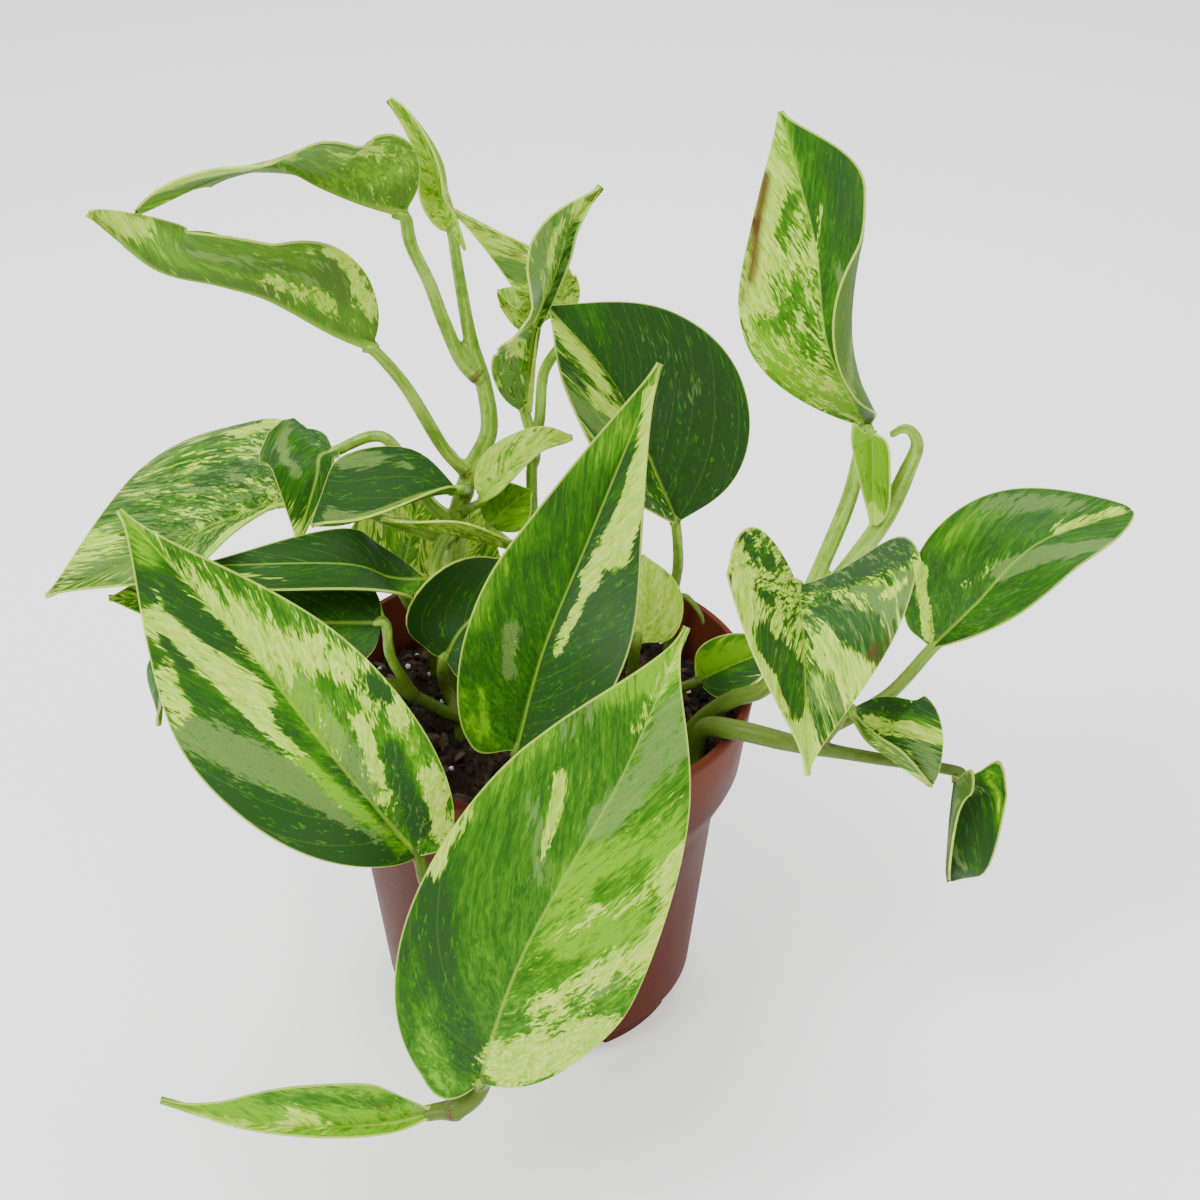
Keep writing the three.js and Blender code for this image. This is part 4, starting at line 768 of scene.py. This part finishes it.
def make_leaf(leaf, settings, finishes):
    """A fine curved blade with a grooved midrib, quilted veins, a ridge below and a thin margin."""
    slot, creams, deeps, sages, ribs, strokes = LOOKS[leaf["name"]]
    length = spline_length(leaf["mid"])
    step = settings.grid_step * 1000
    rows = int(min(100, max(24, length / step)))
    columns = 2 * int(min(26, max(8, sum(leaf["half"]) / step / 2)))
    deselect()
    bpy.ops.mesh.primitive_grid_add(x_subdivisions=rows, y_subdivisions=columns, size=2)
    piece = bpy.context.object
    start = points_of(piece)
    order = np.lexsort((start[:, 1].round(5), start[:, 0].round(5)))
    shape = (rows + 1, columns + 1)
    x = start[order, 0].reshape(shape)
    y = start[order, 1].reshape(shape)
    q = np.clip(0.5 - 0.5 * np.cos(np.pi * (x + 1) / 2), 0, 1)
    v = -np.sign(y) * np.abs(y)**1.2
    point, out, rim, along = blade(leaf, q, v)
    sign = np.where(v < 0, -1, 1)
    normal = unit(np.cross(np.gradient(point, axis=0), np.gradient(point, axis=1)))
    seed = leaf["mid"][0][0]
    vein = along - (VEIN_SLANT + VEIN_CURVE * np.clip(along / length, 0, 1)) * out
    groove = np.exp(-(out / GROOVE_WIDTH)**2) * (1 - 0.6 * q)
    swell = np.cos(2 * np.pi * vein / settings.vein_gap / 1000 + 0.3 * sign)
    inner = np.clip(out / RIB_FADE, 0, 1) * np.clip(rim / RIB_FADE, 0, 1)
    billow = BILLOW_HEIGHT * np.sin(5.3 * q * length / 40 + seed)
    billow = billow * np.sin(2.6 * v + seed) * (1 - np.abs(v)**3)
    lift = BLADE_LIFT - settings.groove_depth * 1000 * groove - RIB_HEIGHT * ribs * swell * inner + billow
    point = point + normal * lift[..., None]
    flat = np.empty_like(start)
    flat[order] = point.reshape(-1, 3) * MM
    move_points(piece, flat)
    side = (v > 0).astype(int)
    marks = painted(strokes, along, sign * out, shape)
    midrib = np.exp(-(out / (0.35 + 0.5 * (1 - q)))**2)
    halves = [np.asarray(tone)[side] for tone in (creams, deeps, sages)]
    kept = {
        "tone": np.stack(halves, -1) + marks[..., :3],
        "lay": np.stack([vein, sign * VEIN_STRETCH * out, np.full(shape, seed)], -1),
        "site": np.stack([rim, midrib, np.clip(marks[..., 3], 0, 1)], -1),
    }
    for name, values in kept.items():
        laid = np.empty((len(start), 3))
        laid[order] = values.reshape(-1, 3)
        keep_vectors(piece, name, laid)
    ridge = piece.vertex_groups.new(name="ridge")
    weight = np.empty(len(start))
    weight[order] = (np.exp(-(out / RIDGE_WIDTH)**2) * (1 - 0.75 * q)).ravel()
    for i, w in enumerate(weight):
        ridge.add([i], float(w), "REPLACE")
    for finish in finishes:
        piece.data.materials.append(finish)
    finish_modifier(piece, "SOLIDIFY", thickness=settings.ridge_thickness, offset=-1,
                    vertex_group="ridge",
                    thickness_vertex_group=settings.blade_thickness / settings.ridge_thickness,
                    material_offset=1, use_quality_normals=True)
    settle(piece, "fine_" + leaf["name"])
    smooth(piece, 50)
    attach(piece, "root")
    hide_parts(leaf["name"])


# Stems

def stalk_end(leaf_name):
    """Where a stalk meets the blade that it carries, and the way that it goes on under it."""
    leaf = next(x for x in LEAVES if x["name"] == leaf_name)
    tangent = spline_direction(leaf["mid"], np.array([0.0]))[0]
    up = np.asarray(leaf["face"][0], float)
    up = unit(up - (up @ tangent) * tangent)
    base = np.asarray(leaf["mid"][0], float)
    return [base - tangent * STALK_BEFORE[0] - up * STALK_BEFORE[1],
            base + tangent * STALK_BEYOND[0] - up * STALK_BEYOND[1]]


def tube(points, radii, grooved):
    """A tapering stalk as rows of points, with its own frame carried along it."""
    length = spline_length(points)
    count = max(6, int(length / STALK_STEP))
    even = np.linspace(0, 1, 400)
    run = np.concatenate([[0], np.cumsum(np.linalg.norm(np.diff(spline(points, even), axis=0), axis=1))])
    t = np.interp(np.linspace(0, run[-1], count), run, even)
    centre = spline(points, t)
    tangent = spline_direction(points, t)
    share = np.linspace(0, 1, count)
    radius = blend(radii, share)
    normal = np.cross(tangent[0], [0.3, 1.0, 0.2])
    a = np.linspace(0, 2 * np.pi, STALK_SIDES, endpoint=False)
    rows = []
    for i in range(count):
        normal = unit(normal - (normal @ tangent[i]) * tangent[i])
        binormal = np.cross(tangent[i], normal)
        upward = math.atan2(binormal[2], normal[2])
        gap = np.abs((a - upward + np.pi) % (2 * np.pi) - np.pi)
        lips = PETIOLE["lip_height"] * np.exp(-((gap - PETIOLE["lip_at"]) / PETIOLE["lip"])**2)
        depth = grooved * (np.exp(-(gap / PETIOLE["groove"])**2) - lips)
        r = radius[i] * (1 - PETIOLE["depth"] * depth)
        rows.append(centre[i] + r[:, None] * (np.cos(a)[:, None] * normal + np.sin(a)[:, None] * binormal))
    return np.array(rows), share * length, radius


def tube_mesh(rows, name):
    count, sides = rows.shape[:2]
    faces = []
    for i in range(count - 1):
        for j in range(sides):
            k = (j + 1) % sides
            faces.append((i * sides + j, i * sides + k, (i + 1) * sides + k, (i + 1) * sides + j))
    faces.append(tuple(range(sides))[::-1])
    faces.append(tuple((count - 1) * sides + j for j in range(sides)))
    mesh = bpy.data.meshes.new(name)
    mesh.from_pydata(rows.reshape(-1, 3) * MM, [], faces)
    return linked(name, mesh)


def stem_finish(settings):
    """Yellow-green stalks with long pale and dark streaks, olive old stems and brown scars."""
    paint = Finish("stem skin", 0.42, **{"Specular IOR Level": 0.18})
    place = paint.place()
    age, scar = paint.parts(paint.kept("stem"))[:2]
    lay = paint.kept("lay")
    streak = paint.noise(paint.scaled(lay, (0.08, 0.9, 1.0)), detail=3.0)
    mottle = paint.noise(place, 320.0, 3.0)
    colour = paint.mix(paint.spread(streak, 0.35, 0.65), settings.colour, settings.light)
    colour = paint.mix(paint.spread(mottle, 0.5, 0.7, 0.0, 0.5), colour, settings.dark)
    colour = paint.mix(paint.math("MULTIPLY", age, 0.95), colour, settings.old)
    colour = paint.mix(scar, colour, settings.scar)
    height = paint.math("MULTIPLY_ADD", mottle, 0.4, streak)
    return paint.done(colour, paint.bump(height, 0.0004, 0.4), paint.spread(mottle, 0.3, 0.7, 0.36, 0.52))


def make_vine(vine, settings, finish):
    """All stalks of one vine, grown together at the forks, with knots, scars and grooved petioles."""
    root = [[*vine["root"], z] for z in (ROOT_Z, SOIL_Z - 2, SOIL_Z + 4)]
    parts, skeleton, facts = [], [], []
    for i, stalk in enumerate(vine["stalks"]):
        points = (root if i == 0 else []) + stalk["points"]
        if "leaf" in stalk:
            points = points + stalk_end(stalk["leaf"])
        grooved = 1.0 if "leaf" in stalk and i > 0 else 0.0
        rows, run, radius = tube(points, stalk["radii"], grooved)
        scar = np.zeros(len(run))
        if i > 0:
            scar = np.exp(-((run - SCAR["at"]) / SCAR["width"])**2)
            knot = KNOT["size"] * np.exp(-((run - KNOT["at"]) / KNOT["width"])**2)
            rows = rows + (rows - rows.mean(1, keepdims=True)) * knot[:, None, None]
        parts.append(tube_mesh(rows, f"{vine['name']}_{i}"))
        age = (OLD_SKIN["top"] - rows[..., 2].mean(1)) / OLD_SKIN["fade"]
        age = np.clip(age, 0, OLD_SKIN["most"])
        around = 2 * np.pi * radius / STALK_SIDES
        for k in range(len(run)):
            for j in range(STALK_SIDES):
                skeleton.append(rows[k, j] * MM)
                facts.append((age[k], scar[k], run[k], j * around[k]))
    piece = joined(parts)
    finish_modifier(piece, "REMESH", mode="VOXEL", voxel_size=settings.voxel)
    finish_modifier(piece, "SMOOTH", factor=0.5, iterations=4)
    tree = KDTree(len(skeleton))
    for i, point in enumerate(skeleton):
        tree.insert(point, i)
    tree.balance()
    near = [facts[tree.find(vertex.co)[1]] for vertex in piece.data.vertices]
    age, scar, run, around = np.array(near).T
    keep_vectors(piece, "stem", np.stack([age, scar, np.zeros(len(age))], -1))
    keep_vectors(piece, "lay", np.stack([run, around, np.full(len(run), float(vine["root"][0]))], -1))
    piece.data.materials.clear()
    piece.data.materials.append(finish)
    settle(piece, "grown_" + vine["name"])
    smooth(piece, 60)
    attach(piece, "root")
    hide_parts(vine["name"])


# Pot and soil

def inner_radius(z):
    """Radius of the pot's inside below its collar, in millimetres."""
    radii, heights = zip(*POT_INSIDE[::-1])
    return float(np.interp(z, heights, radii))


def on_ring(radius, angle):
    """Place on the ground at a radius in millimetres and an angle."""
    return (radius * MM * math.cos(angle), radius * MM * math.sin(angle), 0)


def make_pot(settings):
    """A thin turned nursery pot with a collar, a rolled rim, a stepped foot, holes and notches."""
    rim, top = settings.rim_radius * 1000, settings.height * 1000
    lip = [(rim - 0.3, top - 3), (rim, top - 1.2), (rim - 0.6, top), (rim - RIM_WALL, top)]
    outline = [(r * MM, 0, z * MM) for r, z in POT_OUTSIDE + lip + POT_INSIDE]
    mesh = bpy.data.meshes.new("pot")
    mesh.from_pydata(outline, [(i, i + 1) for i in range(len(outline) - 1)], [])
    piece = linked("pot", mesh)
    pick(piece)
    bpy.ops.object.mode_set(mode="EDIT")
    bpy.ops.mesh.select_all(action="SELECT")
    bpy.ops.mesh.spin(steps=settings.sides, angle=2 * math.pi, center=(0, 0, 0), axis=(0, 0, 1))
    bpy.ops.mesh.remove_doubles(threshold=0.00002)
    bpy.ops.mesh.normals_make_consistent(inside=False)
    bpy.ops.object.mode_set(mode="OBJECT")
    finish_modifier(piece, "BEVEL", width=0.0005, segments=2, limit_method="ANGLE",
                    angle_limit=math.radians(24))
    cutters = []
    for i in range(DRAINS):
        angle = (i + 0.5) / DRAINS * 2 * math.pi
        deselect()
        bpy.ops.mesh.primitive_cylinder_add(vertices=24, radius=HOLE["radius"] * MM,
                                            depth=HOLE["depth"] * MM,
                                            location=on_ring(HOLE["ring"], angle))
        cutters.append(bpy.context.object)
        bpy.ops.mesh.primitive_cube_add(size=1, location=on_ring(NOTCH["ring"], angle),
                                        rotation=(0, 0, angle),
                                        scale=[side * MM for side in NOTCH["size"]])
        cutters.append(bpy.context.object)
    cutter = joined(cutters)
    finish_modifier(piece, "BOOLEAN", operation="DIFFERENCE", object=cutter, solver="EXACT")
    bpy.data.objects.remove(cutter)
    paint = Finish("brick brown plastic", 0.5, **{"Specular IOR Level": 0.05})
    place = paint.place()
    height = paint.parts(place)[2]
    cloud = paint.noise(place, 22.0, 4.0)
    grain = paint.noise(place, 900.0, 3.0, 0.6)
    scuff = paint.noise(paint.scaled(place, (60.0, 60.0, 400.0)), 1.0, 3.0, 0.6)
    colour = paint.mix(paint.spread(cloud, 0.35, 0.65), settings.colour, settings.light)
    # Painted light: the collar and rim turn brighter towards the top, as where light shines through the
    # thin plastic
    colour = paint.mix(paint.spread(height, 0.078, 0.1), colour, settings.lit_rim_colour)
    colour = paint.mix(paint.spread(scuff, 0.62, 0.75, 0.0, 0.25), colour, settings.dust)
    bumps = paint.math("MULTIPLY_ADD", scuff, 0.5, grain)
    finish = paint.done(colour, paint.bump(bumps, 0.0002, 0.25), paint.spread(cloud, 0.3, 0.7, 0.42, 0.58))
    piece.data.materials.clear()
    piece.data.materials.append(finish)
    settle(piece, "turned_pot")
    smooth(piece, 40)
    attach(piece, "root")
    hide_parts("pot")


def soil_height(x, y):
    """Height of the lumpy top of the soil at a place, in millimetres."""
    lumps = np.sin(x * 0.31 + 1.3) * np.cos(y * 0.27 - 0.6) + 0.7 * np.sin(x * 0.13 - y * 0.21)
    return SOIL_Z + 1.1 * lumps - 0.0012 * (x * x + y * y)


def make_soil(settings):
    """A crumbly plug of potting soil and the crumbs, bark and perlite on it."""
    deselect()
    bpy.ops.mesh.primitive_grid_add(x_subdivisions=SOIL_GRID, y_subdivisions=SOIL_GRID, size=2)
    piece = bpy.context.object
    flat = points_of(piece)[:, :2]
    u, v = flat[:, 0], flat[:, 1]
    reach = inner_radius(SOIL_LEVELS[0]) - SOIL_GAP
    x = u * np.sqrt(1 - v * v / 2) * reach
    y = v * np.sqrt(1 - u * u / 2) * reach
    rng = np.random.default_rng(SOIL_SEED)
    rough = np.zeros(len(x))
    for size, depth in SOIL_WAVES:
        for _ in range(WAVES_EACH):
            way = rng.uniform(0, 2 * np.pi)
            phase = rng.uniform(0, 2 * np.pi)
            rough += depth / 4 * np.sin((x * np.cos(way) + y * np.sin(way)) * 2 * np.pi / size + phase)
    z = soil_height(x, y) + np.clip(rough, *SOIL_RELIEF)
    move_points(piece, np.stack([x, y, z], -1) * MM)
    pick(piece)
    bpy.ops.object.mode_set(mode="EDIT")
    bpy.ops.mesh.select_mode(type="EDGE")
    for level in SOIL_LEVELS:
        bpy.ops.mesh.select_all(action="DESELECT")
        bpy.ops.mesh.select_non_manifold()
        bpy.ops.mesh.extrude_region_move()
        bpy.ops.object.mode_set(mode="OBJECT")
        points = points_of(piece)
        chosen = np.array([vertex.select for vertex in piece.data.vertices])
        span = np.linalg.norm(points[chosen, :2], axis=1, keepdims=True)
        points[chosen, :2] *= (inner_radius(level) - SOIL_GAP) * MM / span
        points[chosen, 2] = level * MM
        move_points(piece, points)
        bpy.ops.object.mode_set(mode="EDIT")
    bpy.ops.mesh.edge_face_add()
    bpy.ops.mesh.select_all(action="SELECT")
    bpy.ops.mesh.normals_make_consistent(inside=False)
    bpy.ops.object.mode_set(mode="OBJECT")
    paint = Finish("potting soil", 0.95, **{"Specular IOR Level": 0.15})
    place = paint.place()
    grit = paint.noise(place, 700.0, 4.0, 0.7)
    clod = paint.noise(place, 160.0, 4.0, 0.6)
    # The low clods, which the bump sinks into hollows, turn darkest: painted shade between the crumbs
    colour = paint.ramp(clod, [(0.3, settings.dark), (0.55, settings.colour), (0.75, settings.light)])
    colour = paint.mix(paint.spread(grit, 0.58, 0.7, 0.0, 0.6), colour, settings.light)
    soil_paint = paint.done(colour, paint.bump(paint.math("ADD", grit, clod), 0.001, 0.8))
    piece.data.materials.append(soil_paint)
    settle(piece, "crumbly_soil")
    smooth(piece, 60)
    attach(piece, "root")
    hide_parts("soil")
    bark = Finish("bark chips", 0.85)
    fibre = bark.noise(bark.scaled(bark.place(), (300.0, 900.0, 500.0)), 1.0, 4.0, 0.6)
    brown = bark.ramp(fibre, [(0.3, settings.dark), (0.6, settings.bark), (0.8, settings.light)])
    bark_paint = bark.done(brown, bark.bump(fibre, 0.0006, 0.8))
    white = Finish("perlite", 0.8)
    pores = white.cells(white.place(), 1500.0)
    grey = tuple(0.6 * c for c in settings.perlite)
    white_paint = white.done(white.mix(white.spread(pores, 0.1, 0.5), grey, settings.perlite),
                             white.bump(pores, 0.0004, 0.7))
    kinds = [("soil_crumbs", soil_paint, settings.crumbs, (0.8, 2.0), (1.0, 0.9, 0.8)),
             ("bark_bits", bark_paint, settings.bark_bits, (1.2, 2.6), (1.7, 0.7, 0.45)),
             ("perlite_bits", white_paint, settings.perlite_bits, (0.5, 1.3), (1.1, 1.0, 0.9))]
    for name, finish, count, sizes, stretch in kinds:
        bits = []
        for _ in range(count):
            a = rng.uniform(0, 2 * np.pi)
            r = BITS_RADIUS * math.sqrt(rng.uniform(0, 1))
            size = rng.uniform(*sizes)
            x, y = r * math.cos(a), r * math.sin(a)
            z = float(soil_height(x, y)) + 0.25 * size
            deselect()
            lean = tuple(rng.uniform(-0.5, 0.5, 2)) + (rng.uniform(0, 6.3),)
            bpy.ops.mesh.primitive_ico_sphere_add(subdivisions=1, radius=1,
                                                  location=(x * MM, y * MM, z * MM), rotation=lean,
                                                  scale=tuple(size * s * MM for s in stretch))
            bit = bpy.context.object
            move_points(bit, points_of(bit) * rng.uniform(0.75, 1.1, (len(bit.data.vertices), 1)))
            bits.append(bit)
        heap = joined(bits)
        heap.data.materials.append(finish)
        settle(heap, name)
        smooth(heap, 30)
        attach(heap, "root")


# Studio

def make_studio(settings):
    """A pale floor, a pale surround, large soft lights and the camera."""
    deselect()
    bpy.ops.mesh.primitive_plane_add(size=12, location=(0, 0, -0.0002))
    floor = settle(bpy.context.object, "studio_floor")
    paint = Finish("studio floor", 0.9, **{"Specular IOR Level": 0.1})
    cloud = paint.noise(paint.place(), 3.0, 2.0)
    paint.put(paint.shader, {"Emission Color": (1, 1, 1, 1), "Emission Strength": settings.glow})
    duller = tuple(0.98 * c for c in settings.floor)
    floor.data.materials.append(paint.done(paint.mix(cloud, settings.floor, duller)))
    world = bpy.data.worlds.new("studio")
    world.use_nodes = True
    world.node_tree.nodes["Background"].inputs["Color"].default_value = (1, 1, 1, 1)
    world.node_tree.nodes["Background"].inputs["Strength"].default_value = settings.surround
    bpy.context.scene.world = world
    for name, (place, size) in LAMPS.items():
        light = bpy.data.lights.new(name, "AREA")
        light.size = size
        light.energy = getattr(settings, name)
        lamp = linked(name, light)
        lamp.location = place
        lamp.rotation_euler = (LAMP_AIM - lamp.location).to_track_quat("-Z", "Y").to_euler()
    camera = bpy.data.cameras.new("camera")
    camera.lens = settings.lens
    camera.sensor_width = 36
    camera.clip_start = 0.01
    view = linked("camera", camera)
    view.location = CAMERA_PLACE
    view.rotation_euler = (settings.tilt, 0, 0)
    bpy.context.scene.camera = view


# Settings

def colour_value(name, description, value):
    return bpy.props.FloatVectorProperty(name=name, description=description, default=value, size=3,
                                         subtype="COLOR", min=0, max=1)


def length_value(name, description, value):
    return bpy.props.FloatProperty(name=name, description=description, default=value, min=0,
                                   unit="LENGTH", precision=5)


def number_value(name, description, value):
    return bpy.props.FloatProperty(name=name, description=description, default=value)


def count_value(name, description, value):
    return bpy.props.IntProperty(name=name, description=description, default=value, min=3)


class PotSettings(bpy.types.PropertyGroup):
    rim_radius: length_value("Rim radius", "Outer radius of the pot at its rim", 0.06)
    height: length_value("Height", "Height of the pot", 0.103)
    sides: count_value("Sides", "Facets round the pot", 160)
    colour: colour_value("Body colour", "Brick brown plastic", (0.055, 0.0105, 0.005))
    light: colour_value("Light body colour", "Paler clouds in the plastic", (0.075, 0.015, 0.007))
    # The brighter collar and rim colour is painted light shining through the thin plastic
    lit_rim_colour: colour_value("Rim colour", "Brighter collar and rim", (0.115, 0.027, 0.012))
    dust: colour_value("Dust", "Dry dust in the scuffs", (0.18, 0.09, 0.05))


class SoilSettings(bpy.types.PropertyGroup):
    colour: colour_value("Soil", "Damp potting soil", (0.028, 0.016, 0.011))
    # The dark soil is painted shade in the hollows between the crumbs
    dark: colour_value("Dark soil", "Hollows between the crumbs", (0.008, 0.005, 0.004))
    light: colour_value("Light soil", "Dry crumbs", (0.10, 0.065, 0.045))
    bark: colour_value("Bark", "Bark chips", (0.09, 0.045, 0.025))
    perlite: colour_value("Perlite", "White volcanic bits", (0.75, 0.73, 0.68))
    crumbs: count_value("Crumbs", "Number of soil crumbs", 380)
    bark_bits: count_value("Bark bits", "Number of bark chips", 90)
    perlite_bits: count_value("Perlite bits", "Number of white bits", 60)


class StemSettings(bpy.types.PropertyGroup):
    voxel: length_value("Detail", "Size of the smallest form on the stems", 0.0005)
    colour: colour_value("Stem", "Yellow-green skin", (0.16, 0.32, 0.02))
    light: colour_value("Light streaks", "Pale streaks along a stem", (0.33, 0.52, 0.07))
    dark: colour_value("Dark streaks", "Deeper green mottling", (0.08, 0.2, 0.012))
    old: colour_value("Old stem", "Olive green of the oldest parts", (0.055, 0.085, 0.012))
    scar: colour_value("Scar", "Brown ring at a knot", (0.10, 0.05, 0.02))


class LeafSettings(bpy.types.PropertyGroup):
    grid_step: length_value("Grid step", "Distance between points on a blade", 0.0013)
    blade_thickness: length_value("Blade thickness", "Thickness of the blade", 0.00055)
    ridge_thickness: length_value("Ridge thickness", "Thickness at the base of the midrib", 0.0017)
    groove_depth: length_value("Groove depth", "Depth of the groove along the midrib", 0.0004)
    vein_gap: length_value("Vein gap", "Distance between two side veins", 0.008)
    patches: number_value("Patches", "Strength of the large patches", 0.6)
    streaks: number_value("Streaks", "Strength of the streaks along the veins", 0.9)
    flecks: number_value("Flecks", "Strength of the small flecks", 0.75)
    deep: colour_value("Deep green", "Darkest green of the blades", (0.017, 0.062, 0.009))
    green: colour_value("Green", "Middle green of the blades", (0.022, 0.105, 0.003))
    bright: colour_value("Bright green", "Lively green of the blades", (0.05, 0.19, 0.004))
    lime: colour_value("Lime", "Yellow-green of young parts", (0.16, 0.38, 0.005))
    lime_cream: colour_value("Lime cream", "Greenish cream in the marbling", (0.34, 0.56, 0.03))
    sage: colour_value("Sage", "Grey-green between green and cream", (0.15, 0.26, 0.06))
    cream: colour_value("Cream", "Cream of the marbling", (0.54, 0.70, 0.10))
    vein: colour_value("Vein", "Pale line of the midrib", (0.28, 0.45, 0.04))
    underside: colour_value("Underside", "Matt yellow-green of the undersides", (0.24, 0.38, 0.06))
    brown: colour_value("Blemish", "Brown of dry spots and edges", (0.09, 0.045, 0.012))


class StageSettings(bpy.types.PropertyGroup):
    floor: colour_value("Floor", "Pale studio floor", (0.94, 0.94, 0.94))
    glow: number_value("Floor glow", "Light that the backlit floor gives off", 0.5)
    surround: number_value("Surround", "Strength of the white surround", 0.65)
    key: number_value("Key light", "Power of the light from the left, in watts", 17.0)
    fill: number_value("Fill light", "Power of the light from the right, in watts", 7.0)
    top: number_value("Top light", "Power of the light from behind, in watts", 10.0)
    lens: number_value("Lens", "Focal length of the camera in millimetres", 63.06)
    tilt: bpy.props.FloatProperty(name="Camera tilt", description="Angle of the camera from straight down",
                                  default=math.radians(57.4), subtype="ANGLE")


# Operators

class AddPot(bpy.types.Operator):
    """Turn the nursery pot"""
    bl_idname = "pothos.pot"
    bl_label = "Add pot"

    def execute(self, context):
        make_pot(context.scene.pothos_pot)
        return {"FINISHED"}


class AddSoil(bpy.types.Operator):
    """Fill the pot with soil, crumbs, bark and perlite"""
    bl_idname = "pothos.soil"
    bl_label = "Add soil"

    def execute(self, context):
        make_soil(context.scene.pothos_soil)
        return {"FINISHED"}


class AddStems(bpy.types.Operator):
    """Grow the vines and their petioles"""
    bl_idname = "pothos.stems"
    bl_label = "Add stems"

    def execute(self, context):
        settings = context.scene.pothos_stem
        finish = stem_finish(settings)
        for vine in VINES:
            make_vine(vine, settings, finish)
        return {"FINISHED"}


class AddLeaves(bpy.types.Operator):
    """Lay out the marbled blades"""
    bl_idname = "pothos.leaves"
    bl_label = "Add leaves"

    def execute(self, context):
        settings = context.scene.pothos_leaf
        finishes = [blade_finish(settings, "marbled upper side", False),
                    blade_finish(settings, "matt underside", True)]
        for leaf in LEAVES:
            make_leaf(leaf, settings, finishes)
        return {"FINISHED"}


class AddStudio(bpy.types.Operator):
    """Set up the floor, the soft lights and the camera"""
    bl_idname = "pothos.studio"
    bl_label = "Add studio"

    def execute(self, context):
        make_studio(context.scene.pothos_stage)
        return {"FINISHED"}


OPERATORS = (AddPot, AddSoil, AddStems, AddLeaves, AddStudio)


class PothosPanel(bpy.types.Panel):
    """Buttons that build the plant piece by piece"""
    bl_idname = "VIEW3D_PT_pothos"
    bl_label = "Pothos"
    bl_space_type = "VIEW_3D"
    bl_region_type = "UI"
    bl_category = "Pothos"

    def draw(self, context):
        for operator in OPERATORS:
            self.layout.operator(operator.bl_idname)


GROUPS = {"pothos_pot": PotSettings, "pothos_soil": SoilSettings, "pothos_stem": StemSettings,
          "pothos_leaf": LeafSettings, "pothos_stage": StageSettings}


def register():
    for group in GROUPS.values():
        bpy.utils.register_class(group)
    for name, group in GROUPS.items():
        setattr(bpy.types.Scene, name, bpy.props.PointerProperty(type=group))
    for kind in (*OPERATORS, PothosPanel):
        bpy.utils.register_class(kind)


def unregister():
    for kind in (*OPERATORS, PothosPanel):
        bpy.utils.unregister_class(kind)
    for name in GROUPS:
        delattr(bpy.types.Scene, name)
    for group in GROUPS.values():
        bpy.utils.unregister_class(group)


def main():
    register()
    bpy.ops.pothos.pot()
    bpy.ops.pothos.soil()
    bpy.ops.pothos.stems()
    bpy.ops.pothos.leaves()
    bpy.ops.pothos.studio()
    deselect()


if __name__ == "__main__":
    main()
